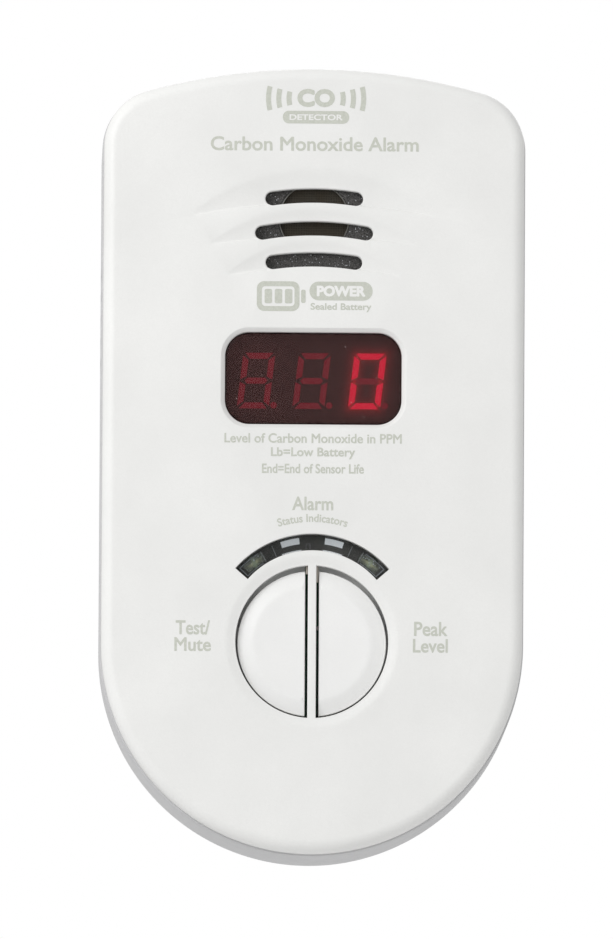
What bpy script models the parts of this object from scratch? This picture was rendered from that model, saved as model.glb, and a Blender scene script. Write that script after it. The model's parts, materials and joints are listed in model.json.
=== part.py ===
"""Wall-hung digital carbon monoxide detector with a sealed battery.

Metres, +Z up. The front faces -Y and the wall plane is y = 0, where the bracket's back rests.
The origin is the middle of the bracket's back face. Every depth below is measured from the wall,
towards the front, and is used as a negative y.
"""

import math

import bmesh
import bpy
from mathutils import Matrix, Vector

MM = 0.001
GAP = 0.3 * MM  # clearance kept wherever two pieces touch
OVERLAP = 0.5 * MM  # how far shapes joined by a Boolean run into each other

# Outline of the case, seen from the front
HALF_WIDTH = 38 * MM
TOP_Z = 71 * MM
BOTTOM_CENTRE_Z = -33 * MM  # centre of the round bottom and of the pair of buttons
TOP_RADIUS = 112 * MM
SHOULDER_RADIUS = 10.5 * MM
HOUSING_PROUD = 0.3 * MM  # the rear housing stands this far outside the front cover

# Depths from the wall
FACE = 36 * MM
COVER_WALL = 2.2 * MM
COVER_INNER = FACE - COVER_WALL
EDGE_RADIUS = 2.2 * MM
PARTING = 29 * MM
TONGUE_END = 26.6 * MM
BOARD_FRONT = 24.9 * MM
BOARD_THICKNESS = 1.6 * MM
BOARD_BACK = BOARD_FRONT - BOARD_THICKNESS
BOSS_END = 21.8 * MM
HOUSING_BACK = 1.2 * MM
HOUSING_INNER = 3.2 * MM
RECESS_FLOOR = 5.0 * MM
RECESS_INNER = 7.2 * MM
BRACKET_THICKNESS = 2.0 * MM

# Insets of the shells from the case outline
COVER_SKIRT = 1.8 * MM
HOUSING_WALL = 2.0 * MM
TONGUE_OUTER = HOUSING_WALL + GAP
TONGUE_INNER = 3.2 * MM

# Sound and gas grille: each louvre is a scoop with a slot along its lower ledge
SLOT_HEIGHT = 2.6 * MM
SLOT_RADIUS = 52 * MM
LOUVRES = (
    # apex z, half width, drop to the tips, drop to the ledge, depth at the ledge, slot length
    (52.55 * MM, 22.0 * MM, 8.1 * MM, 6.05 * MM, 0.9 * MM, 17.7 * MM),
    (45.5 * MM, 18.8 * MM, 6.4 * MM, 4.95 * MM, 0.8 * MM, 21.4 * MM),
    (39.6 * MM, 15.7 * MM, 6.05 * MM, 4.5 * MM, 0.8 * MM, 17.5 * MM),
)

# Sounder behind the grille
SOUNDER_Z = 43.9 * MM
PORT_RADIUS = 6.3 * MM
SOUNDER_RADIUS = 18 * MM
PIEZO_RADIUS = 16 * MM

# Display
DISPLAY_Z = 14.7 * MM
DISPLAY_SIZE = (31.9 * MM, 16.7 * MM)
DISPLAY_CORNER = 4.4 * MM
DISPLAY_BEVEL = 0.7 * MM
WINDOW_FLANGE = 2.2 * MM
MODULE_SIZE = (30.2 * MM, 14 * MM)
DIGITS_Z = 14.3 * MM

# Buttons, two halves of a disc on each side of a bar
HOLE_RADIUS = 13.8 * MM
COUNTERSINK_RADIUS = 15.5 * MM
COUNTERSINK_DEPTH = 0.45 * MM
COLLAR_END = 31.5 * MM
COLLAR_WALL = 1.5 * MM
BAR_HALF_WIDTH = 0.75 * MM
BUTTON_EDGE_X = 1.25 * MM
BUTTON_SIZE = (13.4 * MM, 13.15 * MM)
BUTTON_DROP = 0.3 * MM  # the buttons sit this far below the hole's centre
BUTTON_TOP = 35.0 * MM
BUTTON_CHAMFER = (2.8 * MM, 0.8 * MM)  # across the face, and in depth
BUTTON_FLANGE_RADIUS = 14.9 * MM
BUTTON_TRAVEL = 0.6 * MM
SWITCH_X = 6.5 * MM

# Status lens, an arc above the buttons
LENS_CENTRE_Z = -31.9 * MM
LENS_RADII = (15.4 * MM, 18.4 * MM)
LENS_HALF_ANGLE = math.radians(49)
LED_ANGLE = math.radians(38)
LED_RADIUS = 1.5 * MM

# Fasteners
CASE_SCREWS = tuple((side * x, z) for side in (-1, 1) for x, z in ((30 * MM, 50 * MM), (29 * MM, -40 * MM)))
BOARD_SCREWS = tuple((side * 21.5 * MM, z) for side in (-1, 1) for z in (28 * MM, -22 * MM))

# Recess in the back, bracket and its hooks
RECESS = (-29 * MM, 29 * MM, -34 * MM, 42 * MM)  # low x, high x, low z, high z
RECESS_WALL = 2 * MM
BRACKET = (-25 * MM, 25 * MM, -26 * MM, 40 * MM)
HOOKS = tuple((side * 19 * MM, z) for side in (-1, 1) for z in (26 * MM, -12 * MM))  # top of each stem
HOOK_WIDTH = 8 * MM
HOOK_STEM = 2.5 * MM
HOOK_LIP = 5 * MM
HOOK_REACH = 9.1 * MM
HOOK_LIP_THICKNESS = 1.5 * MM
SCREW_HOLES_Z = (28 * MM, -20 * MM)
SCREW_HEAD_RADIUS = 4.5 * MM
SCREW_SLOT_RADIUS = 2.2 * MM

# Vent slots in each side of the housing
VENT_COUNT = 5
VENT_Z = 18 * MM
VENT_PITCH = 4 * MM
VENT_HEIGHT = 1.6 * MM
VENT_DEPTHS = (22 * MM, 9 * MM)

# Power slider in the recess floor
SLIDER = (15 * MM, 2 * MM)
SLIDER_TRAVEL = 4 * MM

# Battery
CELL_RADIUS = 8.5 * MM
CELL_HALF_LENGTH = 22 * MM
CELL_Z = -48.5 * MM
CELL_DEPTH = 13.5 * MM


def empty_scene():
    for obj in list(bpy.data.objects):
        bpy.data.objects.remove(obj)
    for name in ("carbon_monoxide_detector", "cutters"):
        bpy.context.scene.collection.children.link(bpy.data.collections.new(name))


def material(name, colour, roughness, metallic=0.0, alpha=1.0):
    made = bpy.data.materials.new(name)
    made.use_nodes = True
    shader = made.node_tree.nodes["Principled BSDF"]
    shader.inputs["Base Color"].default_value = (*colour, 1)
    shader.inputs["Roughness"].default_value = roughness
    shader.inputs["Metallic"].default_value = metallic
    shader.inputs["Alpha"].default_value = alpha
    return made


def materials():
    return {
        "white_abs": material("white_abs", (0.82, 0.82, 0.80), 0.45),
        "bracket_abs": material("bracket_abs", (0.78, 0.78, 0.76), 0.5),
        "red_filter": material("red_filter", (0.10, 0.03, 0.03), 0.08, alpha=0.6),
        "smoke_lens": material("smoke_lens", (0.06, 0.07, 0.07), 0.08, alpha=0.5),
        "black_plastic": material("black_plastic", (0.02, 0.018, 0.016), 0.5),
        "black_foam": material("black_foam", (0.04, 0.04, 0.045), 0.95),
        "brass": material("brass", (0.62, 0.47, 0.20), 0.35, 1.0),
        "piezo_ceramic": material("piezo_ceramic", (0.75, 0.74, 0.70), 0.5),
        "contact_metal": material("contact_metal", (0.70, 0.68, 0.62), 0.3, 1.0),
        "led_epoxy": material("led_epoxy", (0.55, 0.60, 0.50), 0.15, alpha=0.6),
        "board": material("board", (0.02, 0.16, 0.07), 0.45),
        "steel": material("steel", (0.60, 0.60, 0.62), 0.3, 1.0),
        "aluminium": material("aluminium", (0.75, 0.75, 0.77), 0.35, 1.0),
        "battery_sleeve": material("battery_sleeve", (0.10, 0.18, 0.42), 0.4),
        "red_wire": material("red_wire", (0.55, 0.03, 0.03), 0.5),
        "black_wire": material("black_wire", (0.02, 0.02, 0.02), 0.5),
        "label": material("label", (0.80, 0.80, 0.80), 0.6),
    }


# Outlines, as lists of (x, z)


def arc(centre, radius, start, end, steps):
    """Points along an arc, both ends included. Angles are in radians, anticlockwise from +X."""
    return [
        (
            centre[0] + radius * math.cos(start + (end - start) * i / steps),
            centre[1] + radius * math.sin(start + (end - start) * i / steps),
        )
        for i in range(steps + 1)
    ]


def case_outline(inset):
    """The case's outline moved inwards: round bottom, straight sides, shoulders and a shallow top arc."""
    shoulder_x = HALF_WIDTH - SHOULDER_RADIUS
    top_centre_z = TOP_Z - TOP_RADIUS
    lean = math.asin(shoulder_x / (TOP_RADIUS - SHOULDER_RADIUS))
    shoulder_z = top_centre_z + (TOP_RADIUS - SHOULDER_RADIUS) * math.cos(lean)
    upright = math.pi / 2
    shoulder = SHOULDER_RADIUS - inset
    return (
        arc((0, BOTTOM_CENTRE_Z), HALF_WIDTH - inset, math.pi, 2 * math.pi, 26)
        + arc((shoulder_x, shoulder_z), shoulder, 0, upright - lean, 5)
        + arc((0, top_centre_z), TOP_RADIUS - inset, upright - lean, upright + lean, 8)[1:-1]
        + arc((-shoulder_x, shoulder_z), shoulder, upright + lean, math.pi, 5)
    )


def rounded_rectangle(low_x, high_x, low_z, high_z, radius, steps=4):
    quarter = math.pi / 2
    corners = (
        (high_x - radius, high_z - radius),
        (low_x + radius, high_z - radius),
        (low_x + radius, low_z + radius),
        (high_x - radius, low_z + radius),
    )
    return [
        point
        for i, corner in enumerate(corners)
        for point in arc(corner, radius, i * quarter, (i + 1) * quarter, steps)
    ]


def centred_rectangle(centre, size, radius, grow=0.0, steps=4):
    half_x = size[0] / 2 + grow
    half_z = size[1] / 2 + grow
    x, z = centre
    return rounded_rectangle(x - half_x, x + half_x, z - half_z, z + half_z, radius + grow, steps)


def ring_sector(centre_z, inner, outer, half_angle, steps=16):
    upright = math.pi / 2
    return arc((0, centre_z), outer, upright - half_angle, upright + half_angle, steps) + arc(
        (0, centre_z), inner, upright + half_angle, upright - half_angle, steps
    )


def half_disc(side, edge_x, radii, centre_z, steps=18):
    """The part of an ellipse beyond the vertical line x = side * edge_x."""
    start = math.acos(edge_x / radii[0])
    return [
        (side * radii[0] * math.cos(angle), centre_z + radii[1] * math.sin(angle))
        for angle in (start - 2 * start * i / steps for i in range(steps + 1))
    ]


def slot_outline(centre_z, length, height, radius, steps=6):
    """A slot with round ends whose centre line is an arc of the given radius, highest in the middle."""
    end = height / 2
    swing = (length / 2 - end) / radius
    centre = (0, centre_z - radius)
    upright = math.pi / 2
    right = (centre[0] + radius * math.sin(swing), centre[1] + radius * math.cos(swing))
    left = (-right[0], right[1])
    return (
        arc(centre, radius + end, upright - swing, upright + swing, steps)
        + arc(left, end, upright + swing, upright + swing + math.pi, 4)[1:-1]
        + arc(centre, radius - end, upright + swing, upright - swing, steps)
        + arc(right, end, -upright - swing, upright - swing, 4)[1:-1]
    )


# Pieces


def link(obj, finish=None):
    """Puts a piece in the model's collection, or in the cutters' where it has no material."""
    if finish:
        obj.data.materials.clear()
        obj.data.materials.append(finish)
        bpy.data.collections["carbon_monoxide_detector"].objects.link(obj)
        if obj.type == "MESH":
            obj.data.shade_smooth()
            obj.data.set_sharp_from_angle(angle=math.radians(35))
    else:
        bpy.data.collections["cutters"].objects.link(obj)
        obj.hide_render = True
        obj.display_type = "WIRE"
    return obj


def mesh_object(name, shape, finish):
    """An object with its origin in the shape's middle, which also puts a sliding piece's origin on its axis."""
    corners = [[pick(v.co[axis] for v in shape.verts) for axis in range(3)] for pick in (min, max)]
    middle = (Vector(corners[0]) + Vector(corners[1])) / 2
    bmesh.ops.translate(shape, vec=-middle, verts=shape.verts)
    bmesh.ops.recalc_face_normals(shape, faces=shape.faces)
    mesh = bpy.data.meshes.new(name)
    shape.to_mesh(mesh)
    shape.free()
    obj = bpy.data.objects.new(name, mesh)
    obj.location = middle
    return link(obj, finish)


def curve_shape(curve, matrix):
    """A bmesh of a curve as Blender evaluates it, with its caps welded on."""
    helper = bpy.data.objects.new("helper", curve)
    bpy.context.scene.collection.objects.link(helper)
    graph = bpy.context.evaluated_depsgraph_get()
    mesh = bpy.data.meshes.new_from_object(helper.evaluated_get(graph))
    shape = bmesh.new()
    shape.from_mesh(mesh)
    bmesh.ops.remove_doubles(shape, verts=shape.verts, dist=1e-6)
    bmesh.ops.transform(shape, matrix=matrix, verts=shape.verts)
    bpy.data.objects.remove(helper)
    bpy.data.meshes.remove(mesh)
    bpy.data.curves.remove(curve)
    return shape


def flat_shape(outlines, thickness, matrix):
    """Closed outlines, the later ones holes, thickened about their own plane with flat caps."""
    curve = bpy.data.curves.new("outline", "CURVE")
    curve.dimensions = "2D"
    curve.fill_mode = "BOTH"
    curve.extrude = thickness / 2
    for outline in outlines:
        spline = curve.splines.new("POLY")
        spline.points.add(len(outline) - 1)
        for point, (x, z) in zip(spline.points, outline):
            point.co = (x, z, 0, 1)
        spline.use_cyclic_u = True
    shape = curve_shape(curve, matrix)
    bmesh.ops.dissolve_limit(shape, angle_limit=1e-4, verts=shape.verts, edges=shape.edges)
    return shape


def plate_shape(outlines, front, back):
    """A plate between two depths from the wall, its outlines in (x, z)."""
    upright = Matrix.Translation((0, -(front + back) / 2, 0)) @ Matrix.Rotation(math.pi / 2, 4, "X")
    return flat_shape(outlines, front - back, upright)


def plate(name, outlines, front, back, finish=None):
    return mesh_object(name, plate_shape(outlines, front, back), finish)


def bevelled_plate(name, outline, front, back, edge, width, segments, finish=None):
    """A plate whose rim at one depth, edge, is rounded or chamfered."""
    shape = plate_shape([outline], front, back)
    rim = [
        e for e in shape.edges if e.calc_face_angle(0) > 0.7 and all(abs(v.co.y + edge) < 1e-6 for v in e.verts)
    ]
    bmesh.ops.bevel(
        shape, geom=rim, offset=width, segments=segments, profile=0.5, affect="EDGES", clamp_overlap=False
    )
    return mesh_object(name, shape, finish)


def turned(name, centre, radius, front, back, finish=None, front_radius=None, segments=32):
    """A cylinder or cone along Y at (x, z), between two depths."""
    shape = bmesh.new()
    bmesh.ops.create_cone(
        shape,
        cap_ends=True,
        segments=segments,
        radius1=radius if front_radius is None else front_radius,
        radius2=radius,
        depth=front - back,
    )
    place = Matrix.Translation((centre[0], -(front + back) / 2, centre[1]))
    along_y = Matrix.Rotation(-math.pi / 2, 4, "X")
    bmesh.ops.transform(shape, matrix=place @ along_y, verts=shape.verts)
    return mesh_object(name, shape, finish)


def box(name, xs, zs, depths, finish=None, bevel=0.0):
    """A box between two x, two z and two depths, front first."""
    shape = bmesh.new()
    bmesh.ops.create_cube(shape, size=1)
    size = Matrix.Diagonal((xs[1] - xs[0], depths[0] - depths[1], zs[1] - zs[0], 1))
    centre = Vector((sum(xs) / 2, -sum(depths) / 2, sum(zs) / 2))
    bmesh.ops.transform(shape, matrix=Matrix.Translation(centre) @ size, verts=shape.verts)
    if bevel:
        bmesh.ops.bevel(shape, geom=shape.edges[:], offset=bevel, segments=1, affect="EDGES")
    return mesh_object(name, shape, finish)


def boolean(target, operation, operands):
    """One Boolean with one object, or with a collection of several."""
    modifier = target.modifiers.new(operands[0].name, "BOOLEAN")
    modifier.operation = operation
    modifier.solver = "EXACT"
    if len(operands) == 1:
        modifier.object = operands[0]
        return
    group = bpy.data.collections.new(f"{target.name}_{operands[0].name}")
    bpy.data.collections["cutters"].children.link(group)
    for operand in operands:
        group.objects.link(operand)
    modifier.operand_type = "COLLECTION"
    modifier.collection = group


def cut(target, *cutters):
    boolean(target, "DIFFERENCE", cutters)


def join(target, *pieces):
    boolean(target, "UNION", pieces)


# Front cover


def louvre_scoop(index, apex_z, half_width, tip_drop, ledge_drop, depth):
    """A shallow gouge that deepens downwards from its apex and ends at an arched ledge."""
    slope = math.atan(depth / ledge_drop)
    gouge_radius = half_width**2 / (2 * tip_drop * math.tan(slope))
    reach = 1.4 * half_width
    swing = math.asin(1.1 * reach / gouge_radius)
    floor = arc((0, gouge_radius), gouge_radius, -math.pi / 2 - swing, -math.pi / 2 + swing, 12)
    length = 60 * MM
    # The outline's +Y is out of the face, and the gouge runs down from its apex, into the face.
    along = Matrix.Rotation(slope, 4, "X") @ Matrix.Rotation(math.pi, 4, "Z")
    place = Matrix.Translation((0, -FACE, apex_z)) @ along
    gouge = mesh_object(f"gouge_{index}", flat_shape([floor], length, place), None)
    sagitta = tip_drop - ledge_drop
    ledge_radius = (half_width**2 + sagitta**2) / (2 * sagitta)
    ledge_z = apex_z - ledge_drop
    turn = math.asin(reach / ledge_radius)
    upright = math.pi / 2
    above = arc((0, ledge_z - ledge_radius), ledge_radius, upright + turn, upright - turn, 12)
    corner_z = apex_z + 10 * MM
    above += [(reach, corner_z), (-reach, corner_z)]
    scoop = plate(f"scoop_{index}", [above], FACE + 5 * MM, COVER_INNER)
    boolean(scoop, "INTERSECT", [gouge])
    return scoop


def front_cover(finish):
    cover = bevelled_plate(
        "front_cover", case_outline(0), FACE, PARTING + GAP / 2, FACE, EDGE_RADIUS, 3, finish
    )
    join(cover, plate("tongue", [case_outline(TONGUE_OUTER)], PARTING + 2 * OVERLAP, TONGUE_END))
    cut(
        cover,
        plate("cover_cavity", [case_outline(COVER_SKIRT)], COVER_INNER, PARTING + 1.7 * MM),
        plate("tongue_cavity", [case_outline(TONGUE_INNER)], COVER_INNER - OVERLAP, BOARD_FRONT),
    )
    centre = (0, BOTTOM_CENTRE_Z)
    join(
        cover,
        turned("collar", centre, HOLE_RADIUS + COLLAR_WALL, COVER_INNER + OVERLAP, COLLAR_END, segments=48),
        *(
            turned(f"boss_{i}", at, 3.25 * MM, COVER_INNER + OVERLAP, BOSS_END, segments=16)
            for i, at in enumerate(CASE_SCREWS)
        ),
        *(
            turned(f"post_{i}", at, 2.5 * MM, COVER_INNER + OVERLAP, BOARD_FRONT + GAP, segments=14)
            for i, at in enumerate(BOARD_SCREWS)
        ),
    )
    past = 0.1 * MM  # the bevel's cutter runs this far beyond the bevel at both of its edges
    rim_outline = centred_rectangle((0, DISPLAY_Z), DISPLAY_SIZE, DISPLAY_CORNER, DISPLAY_BEVEL + past)
    louvres = []
    for i, (apex_z, half_width, tip_drop, ledge_drop, depth, length) in enumerate(LOUVRES):
        slot_z = apex_z - ledge_drop + SLOT_HEIGHT / 2 + 0.1 * MM
        slot = slot_outline(slot_z, length, SLOT_HEIGHT, SLOT_RADIUS)
        louvres.append(louvre_scoop(i, apex_z, half_width, tip_drop, ledge_drop, depth))
        louvres.append(plate(f"slot_{i}", [slot], FACE + OVERLAP, COVER_INNER - OVERLAP))
    countersink = turned(
        "countersink",
        centre,
        HOLE_RADIUS,
        FACE + COUNTERSINK_DEPTH,
        FACE - COUNTERSINK_DEPTH,
        front_radius=2 * COUNTERSINK_RADIUS - HOLE_RADIUS,
        segments=48,
    )
    cut(
        cover,
        *louvres,
        countersink,
        *(
            plate(
                f"button_hole_{side}",
                [half_disc(side, BAR_HALF_WIDTH, (HOLE_RADIUS, HOLE_RADIUS), BOTTOM_CENTRE_Z, 20)],
                FACE,
                COLLAR_END - OVERLAP,
            )
            for side in (-1, 1)
        ),
        bevelled_plate(
            "display_bevel",
            rim_outline,
            FACE + OVERLAP,
            FACE - DISPLAY_BEVEL - past,
            FACE - DISPLAY_BEVEL - past,
            DISPLAY_BEVEL + 2 * past,
            1,
        ),
        plate(
            "display_hole",
            [centred_rectangle((0, DISPLAY_Z), DISPLAY_SIZE, DISPLAY_CORNER)],
            FACE,
            COVER_INNER - OVERLAP,
        ),
        plate(
            "lens_hole",
            [ring_sector(LENS_CENTRE_Z, *LENS_RADII, LENS_HALF_ANGLE)],
            FACE + OVERLAP,
            COVER_INNER - OVERLAP,
        ),
        *(
            turned(f"boss_pilot_{i}", at, 1.6 * MM, COVER_INNER - MM, BOSS_END - MM, segments=12)
            for i, at in enumerate(CASE_SCREWS)
        ),
        *(
            turned(f"post_pilot_{i}", at, 1.3 * MM, COVER_INNER - MM, BOARD_FRONT - MM, segments=10)
            for i, at in enumerate(BOARD_SCREWS)
        ),
    )


def display_window(finish):
    """A filter that fills the display opening from behind, held by its flange."""
    centre = (0, DISPLAY_Z)
    window = bevelled_plate(
        "display_window",
        centred_rectangle(centre, DISPLAY_SIZE, DISPLAY_CORNER, -GAP),
        FACE - 0.9 * MM,
        COVER_INNER - 0.8 * MM,
        FACE - 0.9 * MM,
        0.2 * MM,
        1,
        finish,
    )
    flange = centred_rectangle(centre, DISPLAY_SIZE, DISPLAY_CORNER / 2, WINDOW_FLANGE)
    join(window, plate("window_flange", [flange], COVER_INNER - GAP, COVER_INNER - 1.3 * MM))


def status_lens(finish):
    inner, outer = LENS_RADII
    clear = GAP / 2 + 0.1 * MM
    squeeze = clear / outer
    lens = plate(
        "status_lens",
        [ring_sector(LENS_CENTRE_Z, inner + clear, outer - clear, LENS_HALF_ANGLE - squeeze)],
        FACE - 0.3 * MM,
        COVER_INNER - 0.8 * MM,
        finish,
    )
    flange = ring_sector(LENS_CENTRE_Z, inner + clear, outer + 1.6 * MM, LENS_HALF_ANGLE + 0.05)
    join(lens, plate("lens_flange", [flange], COVER_INNER - GAP, COVER_INNER - 1.2 * MM))


def led_places():
    middle = sum(LENS_RADII) / 2
    return {
        name: (side * middle * math.sin(LED_ANGLE), LENS_CENTRE_Z + middle * math.cos(LED_ANGLE))
        for name, side in (("left", -1), ("right", 1))
    }


def status_lamps(baffle_finish, led_finish):
    inner, outer = LENS_RADII
    baffle = plate(
        "led_baffle",
        [ring_sector(LENS_CENTRE_Z, inner + 0.3 * MM, outer + 1.2 * MM, LENS_HALF_ANGLE)],
        COVER_INNER - 1.6 * MM,
        BOARD_FRONT + GAP,
        baffle_finish,
    )
    for name, at in led_places().items():
        well = turned(f"led_well_{name}", at, LED_RADIUS + GAP, COVER_INNER, BOARD_FRONT - MM, segments=24)
        cut(baffle, well)
        shape = bmesh.new()
        bmesh.ops.create_uvsphere(shape, u_segments=24, v_segments=12, radius=LED_RADIUS)
        dome_depth = 29.6 * MM
        bmesh.ops.transform(shape, matrix=Matrix.Translation((at[0], -dome_depth, at[1])), verts=shape.verts)
        led = mesh_object(f"status_led_{name}", shape, led_finish)
        join(led, turned(f"led_stem_{name}", at, LED_RADIUS, dome_depth, BOARD_FRONT + GAP, segments=24))


def button(name, side, finish):
    """Half of a disc, chamfered along its round edge, with a flange that stays behind the collar and a post."""
    centre_z = BOTTOM_CENTRE_Z - BUTTON_DROP
    flange_front = COLLAR_END - GAP
    flange_back = flange_front - 0.8 * MM
    outline = half_disc(side, BUTTON_EDGE_X, BUTTON_SIZE, centre_z, 22)
    cap = plate(name, [outline], BUTTON_TOP, flange_back + 0.3 * MM, finish)
    across, deep = BUTTON_CHAMFER
    plateau = BUTTON_SIZE[0] - across
    depth = BUTTON_TOP - flange_back
    cone = turned(
        f"{name}_cone",
        (0, centre_z),
        plateau + (depth + OVERLAP) * across / deep,
        BUTTON_TOP + OVERLAP,
        flange_back - OVERLAP,
        front_radius=plateau - OVERLAP * across / deep,
        segments=48,
    )
    boolean(cap, "INTERSECT", [cone])
    flange_radii = (BUTTON_FLANGE_RADIUS, BUTTON_FLANGE_RADIUS)
    flange = half_disc(side, BUTTON_EDGE_X + 0.2 * MM, flange_radii, BOTTOM_CENTRE_Z, 20)
    post_at = (side * SWITCH_X, centre_z)
    join(
        cap,
        plate(f"{name}_flange", [flange], flange_front, flange_back),
        turned(f"{name}_post", post_at, 2.5 * MM, flange_back + OVERLAP, flange_back - 0.5 * MM, segments=24),
    )


def press_switch(name, side, body_finish, plunger_finish):
    x = side * SWITCH_X
    z = BOTTOM_CENTRE_Z - BUTTON_DROP
    half = 3 * MM
    top = 28.7 * MM
    square = (x - half, x + half), (z - half, z + half)
    body = box(name, *square, (top, BOARD_FRONT + GAP), body_finish, 0.25 * MM)
    cut(body, turned(f"{name}_well", (x, z), 2.1 * MM, top + MM, top - 1.8 * MM, segments=24))
    turned(f"{name}_plunger", (x, z), 1.75 * MM, 29.6 * MM, top - 0.9 * MM, plunger_finish, segments=24)


# Sounder


def sounder(finishes):
    centre = (0, SOUNDER_Z)
    foam = finishes["black_foam"]
    gasket = turned("sounder_gasket", centre, 16 * MM, 33.4 * MM, 31.9 * MM, foam, segments=36)
    cut(gasket, turned("gasket_port", centre, PORT_RADIUS, FACE, 30 * MM, segments=36))
    front = 31.6 * MM
    step = 28.3 * MM
    housing = turned(
        "sounder_housing", centre, SOUNDER_RADIUS, front, 25.6 * MM, finishes["black_plastic"], segments=40
    )
    cut(
        housing,
        turned("sounder_port", centre, PORT_RADIUS + 0.8 * MM, FACE, 29 * MM, segments=32),
        turned("chamber", centre, PIEZO_RADIUS - MM, front - 1.2 * MM, step - OVERLAP, segments=36),
        turned("piezo_seat", centre, PIEZO_RADIUS + GAP, step, 24 * MM, segments=40),
    )
    front = step - GAP
    turned("piezo_disc", centre, PIEZO_RADIUS, front, front - 0.4 * MM, finishes["brass"], segments=40)
    rear = step - GAP - 0.4 * MM - GAP
    turned("piezo_ceramic", centre, 10.5 * MM, rear, rear - 0.3 * MM, finishes["piezo_ceramic"], segments=32)
    ring = turned("sounder_ring", centre, PIEZO_RADIUS, rear, 26 * MM, finishes["black_plastic"], segments=40)
    cut(ring, turned("ring_hole", centre, PIEZO_RADIUS - 2.5 * MM, FACE, 24 * MM, segments=36))
    contacts = ((0, rear - 0.3 * MM), (-6 * MM, rear - 0.3 * MM), (12 * MM, rear + GAP))
    contact = finishes["contact_metal"]
    for i, (x, seat) in enumerate(contacts, 1):
        at = (x, SOUNDER_Z)
        tip = min(seat, rear) - GAP if x <= 0 else rear
        turned(f"horn_contact_{i}", at, 0.6 * MM, tip, BOARD_FRONT + GAP, contact, segments=12)


# Circuit board and what it carries


def main_board(finish):
    outline = rounded_rectangle(-25.2 * MM, 25.2 * MM, -50 * MM, 62 * MM, 4 * MM)
    board = plate("main_board", [outline], BOARD_FRONT, BOARD_BACK, finish)
    for i, at in enumerate(BOARD_SCREWS):
        cut(board, turned(f"board_hole_{i}", at, 1.4 * MM, BOARD_FRONT + MM, BOARD_BACK - MM, segments=20))


def board_parts(finishes):
    rear = BOARD_BACK - GAP
    black = finishes["black_plastic"]
    half_x, half_z = MODULE_SIZE[0] / 2, MODULE_SIZE[1] / 2
    module_depths = (COVER_INNER - 1.7 * MM, BOARD_FRONT + GAP)
    module_zs = (DIGITS_Z - half_z, DIGITS_Z + half_z)
    box("display_module", (-half_x, half_x), module_zs, module_depths, black, 0.3 * MM)
    chip_depths = (rear, rear - 1.8 * MM)
    box("microcontroller", (2 * MM, 12 * MM), (-22 * MM, -12 * MM), chip_depths, black, 0.3 * MM)
    for i, at in enumerate(((6 * MM, 24 * MM), (14 * MM, 34 * MM)), 1):
        turned(f"capacitor_{i}", at, 3.15 * MM, rear, rear - 9 * MM, finishes["aluminium"], segments=24)
    turned("horn_coil", (-5 * MM, 34 * MM), 5 * MM, rear, rear - 9 * MM, black, segments=32)
    sensor_at = (-12 * MM, 8 * MM)
    turned("co_sensor", sensor_at, 10 * MM, rear, rear - 9.6 * MM, finishes["steel"], segments=36)
    cap = turned(
        "co_sensor_cap",
        sensor_at,
        10.4 * MM,
        rear - 9.9 * MM,
        rear - 12.3 * MM,
        finishes["white_abs"],
        segments=36,
    )
    for i in range(6):
        angle = i * math.pi / 3
        at = (sensor_at[0] + 5 * MM * math.cos(angle), sensor_at[1] + 5 * MM * math.sin(angle))
        cut(cap, turned(f"sensor_port_{i}", at, 1.2 * MM, rear, 8 * MM, segments=12))
    header_depths = (rear, rear - 4.5 * MM)
    header_zs = (-34 * MM, -29 * MM)
    box("battery_header", (-4 * MM, 4 * MM), header_zs, header_depths, finishes["white_abs"], 0.3 * MM)


def power_switch(finishes):
    """A slide switch on the board, worked by a slider in the recess floor."""
    x, z = SLIDER
    rear = BOARD_BACK - GAP
    black = finishes["black_plastic"]

    def about(half_x):
        return (x - half_x, x + half_x)

    switch_z = (z - 6.5 * MM, z + 2.5 * MM)
    body = box("slide_switch", about(2.2 * MM), switch_z, (rear, rear - 4.5 * MM), finishes["steel"], 0.2 * MM)
    knob_z = (z - 0.7 * MM, z + 0.7 * MM)
    knob_way = (knob_z[0] - SLIDER_TRAVEL - GAP, knob_z[1] + GAP)
    cut(body, box("knob_slot", about(0.95 * MM), knob_way, (rear - 2.2 * MM, 15 * MM)))
    box("switch_knob", about(0.6 * MM), knob_z, (rear - 2.8 * MM, rear - 7 * MM), black)
    slider_depths = (RECESS_FLOOR - GAP, RECESS_FLOOR - 1.6 * MM)
    slider = box("power_slider", about(2.5 * MM), (z - 4 * MM, z + 4 * MM), slider_depths, black, 0.2 * MM)
    stem_end = rear - 5.4 * MM
    catch = RECESS_INNER + GAP
    join(
        slider,
        box("slider_neck", about(MM), (z - 1.5 * MM, z + 1.5 * MM), (catch + OVERLAP, RECESS_FLOOR - OVERLAP)),
        box("slider_flange", about(2.2 * MM), (z - 3 * MM, z + 3 * MM), (catch + 1.2 * MM, catch)),
        box("slider_stem", about(0.9 * MM), (z - 1.8 * MM, z + 1.8 * MM), (stem_end, catch + OVERLAP)),
    )
    groove_z = (knob_z[0] - GAP, knob_z[1] + GAP)
    cut(slider, box("fork_groove", about(2 * MM), groove_z, (stem_end + MM, rear - 7.4 * MM)))


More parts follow.
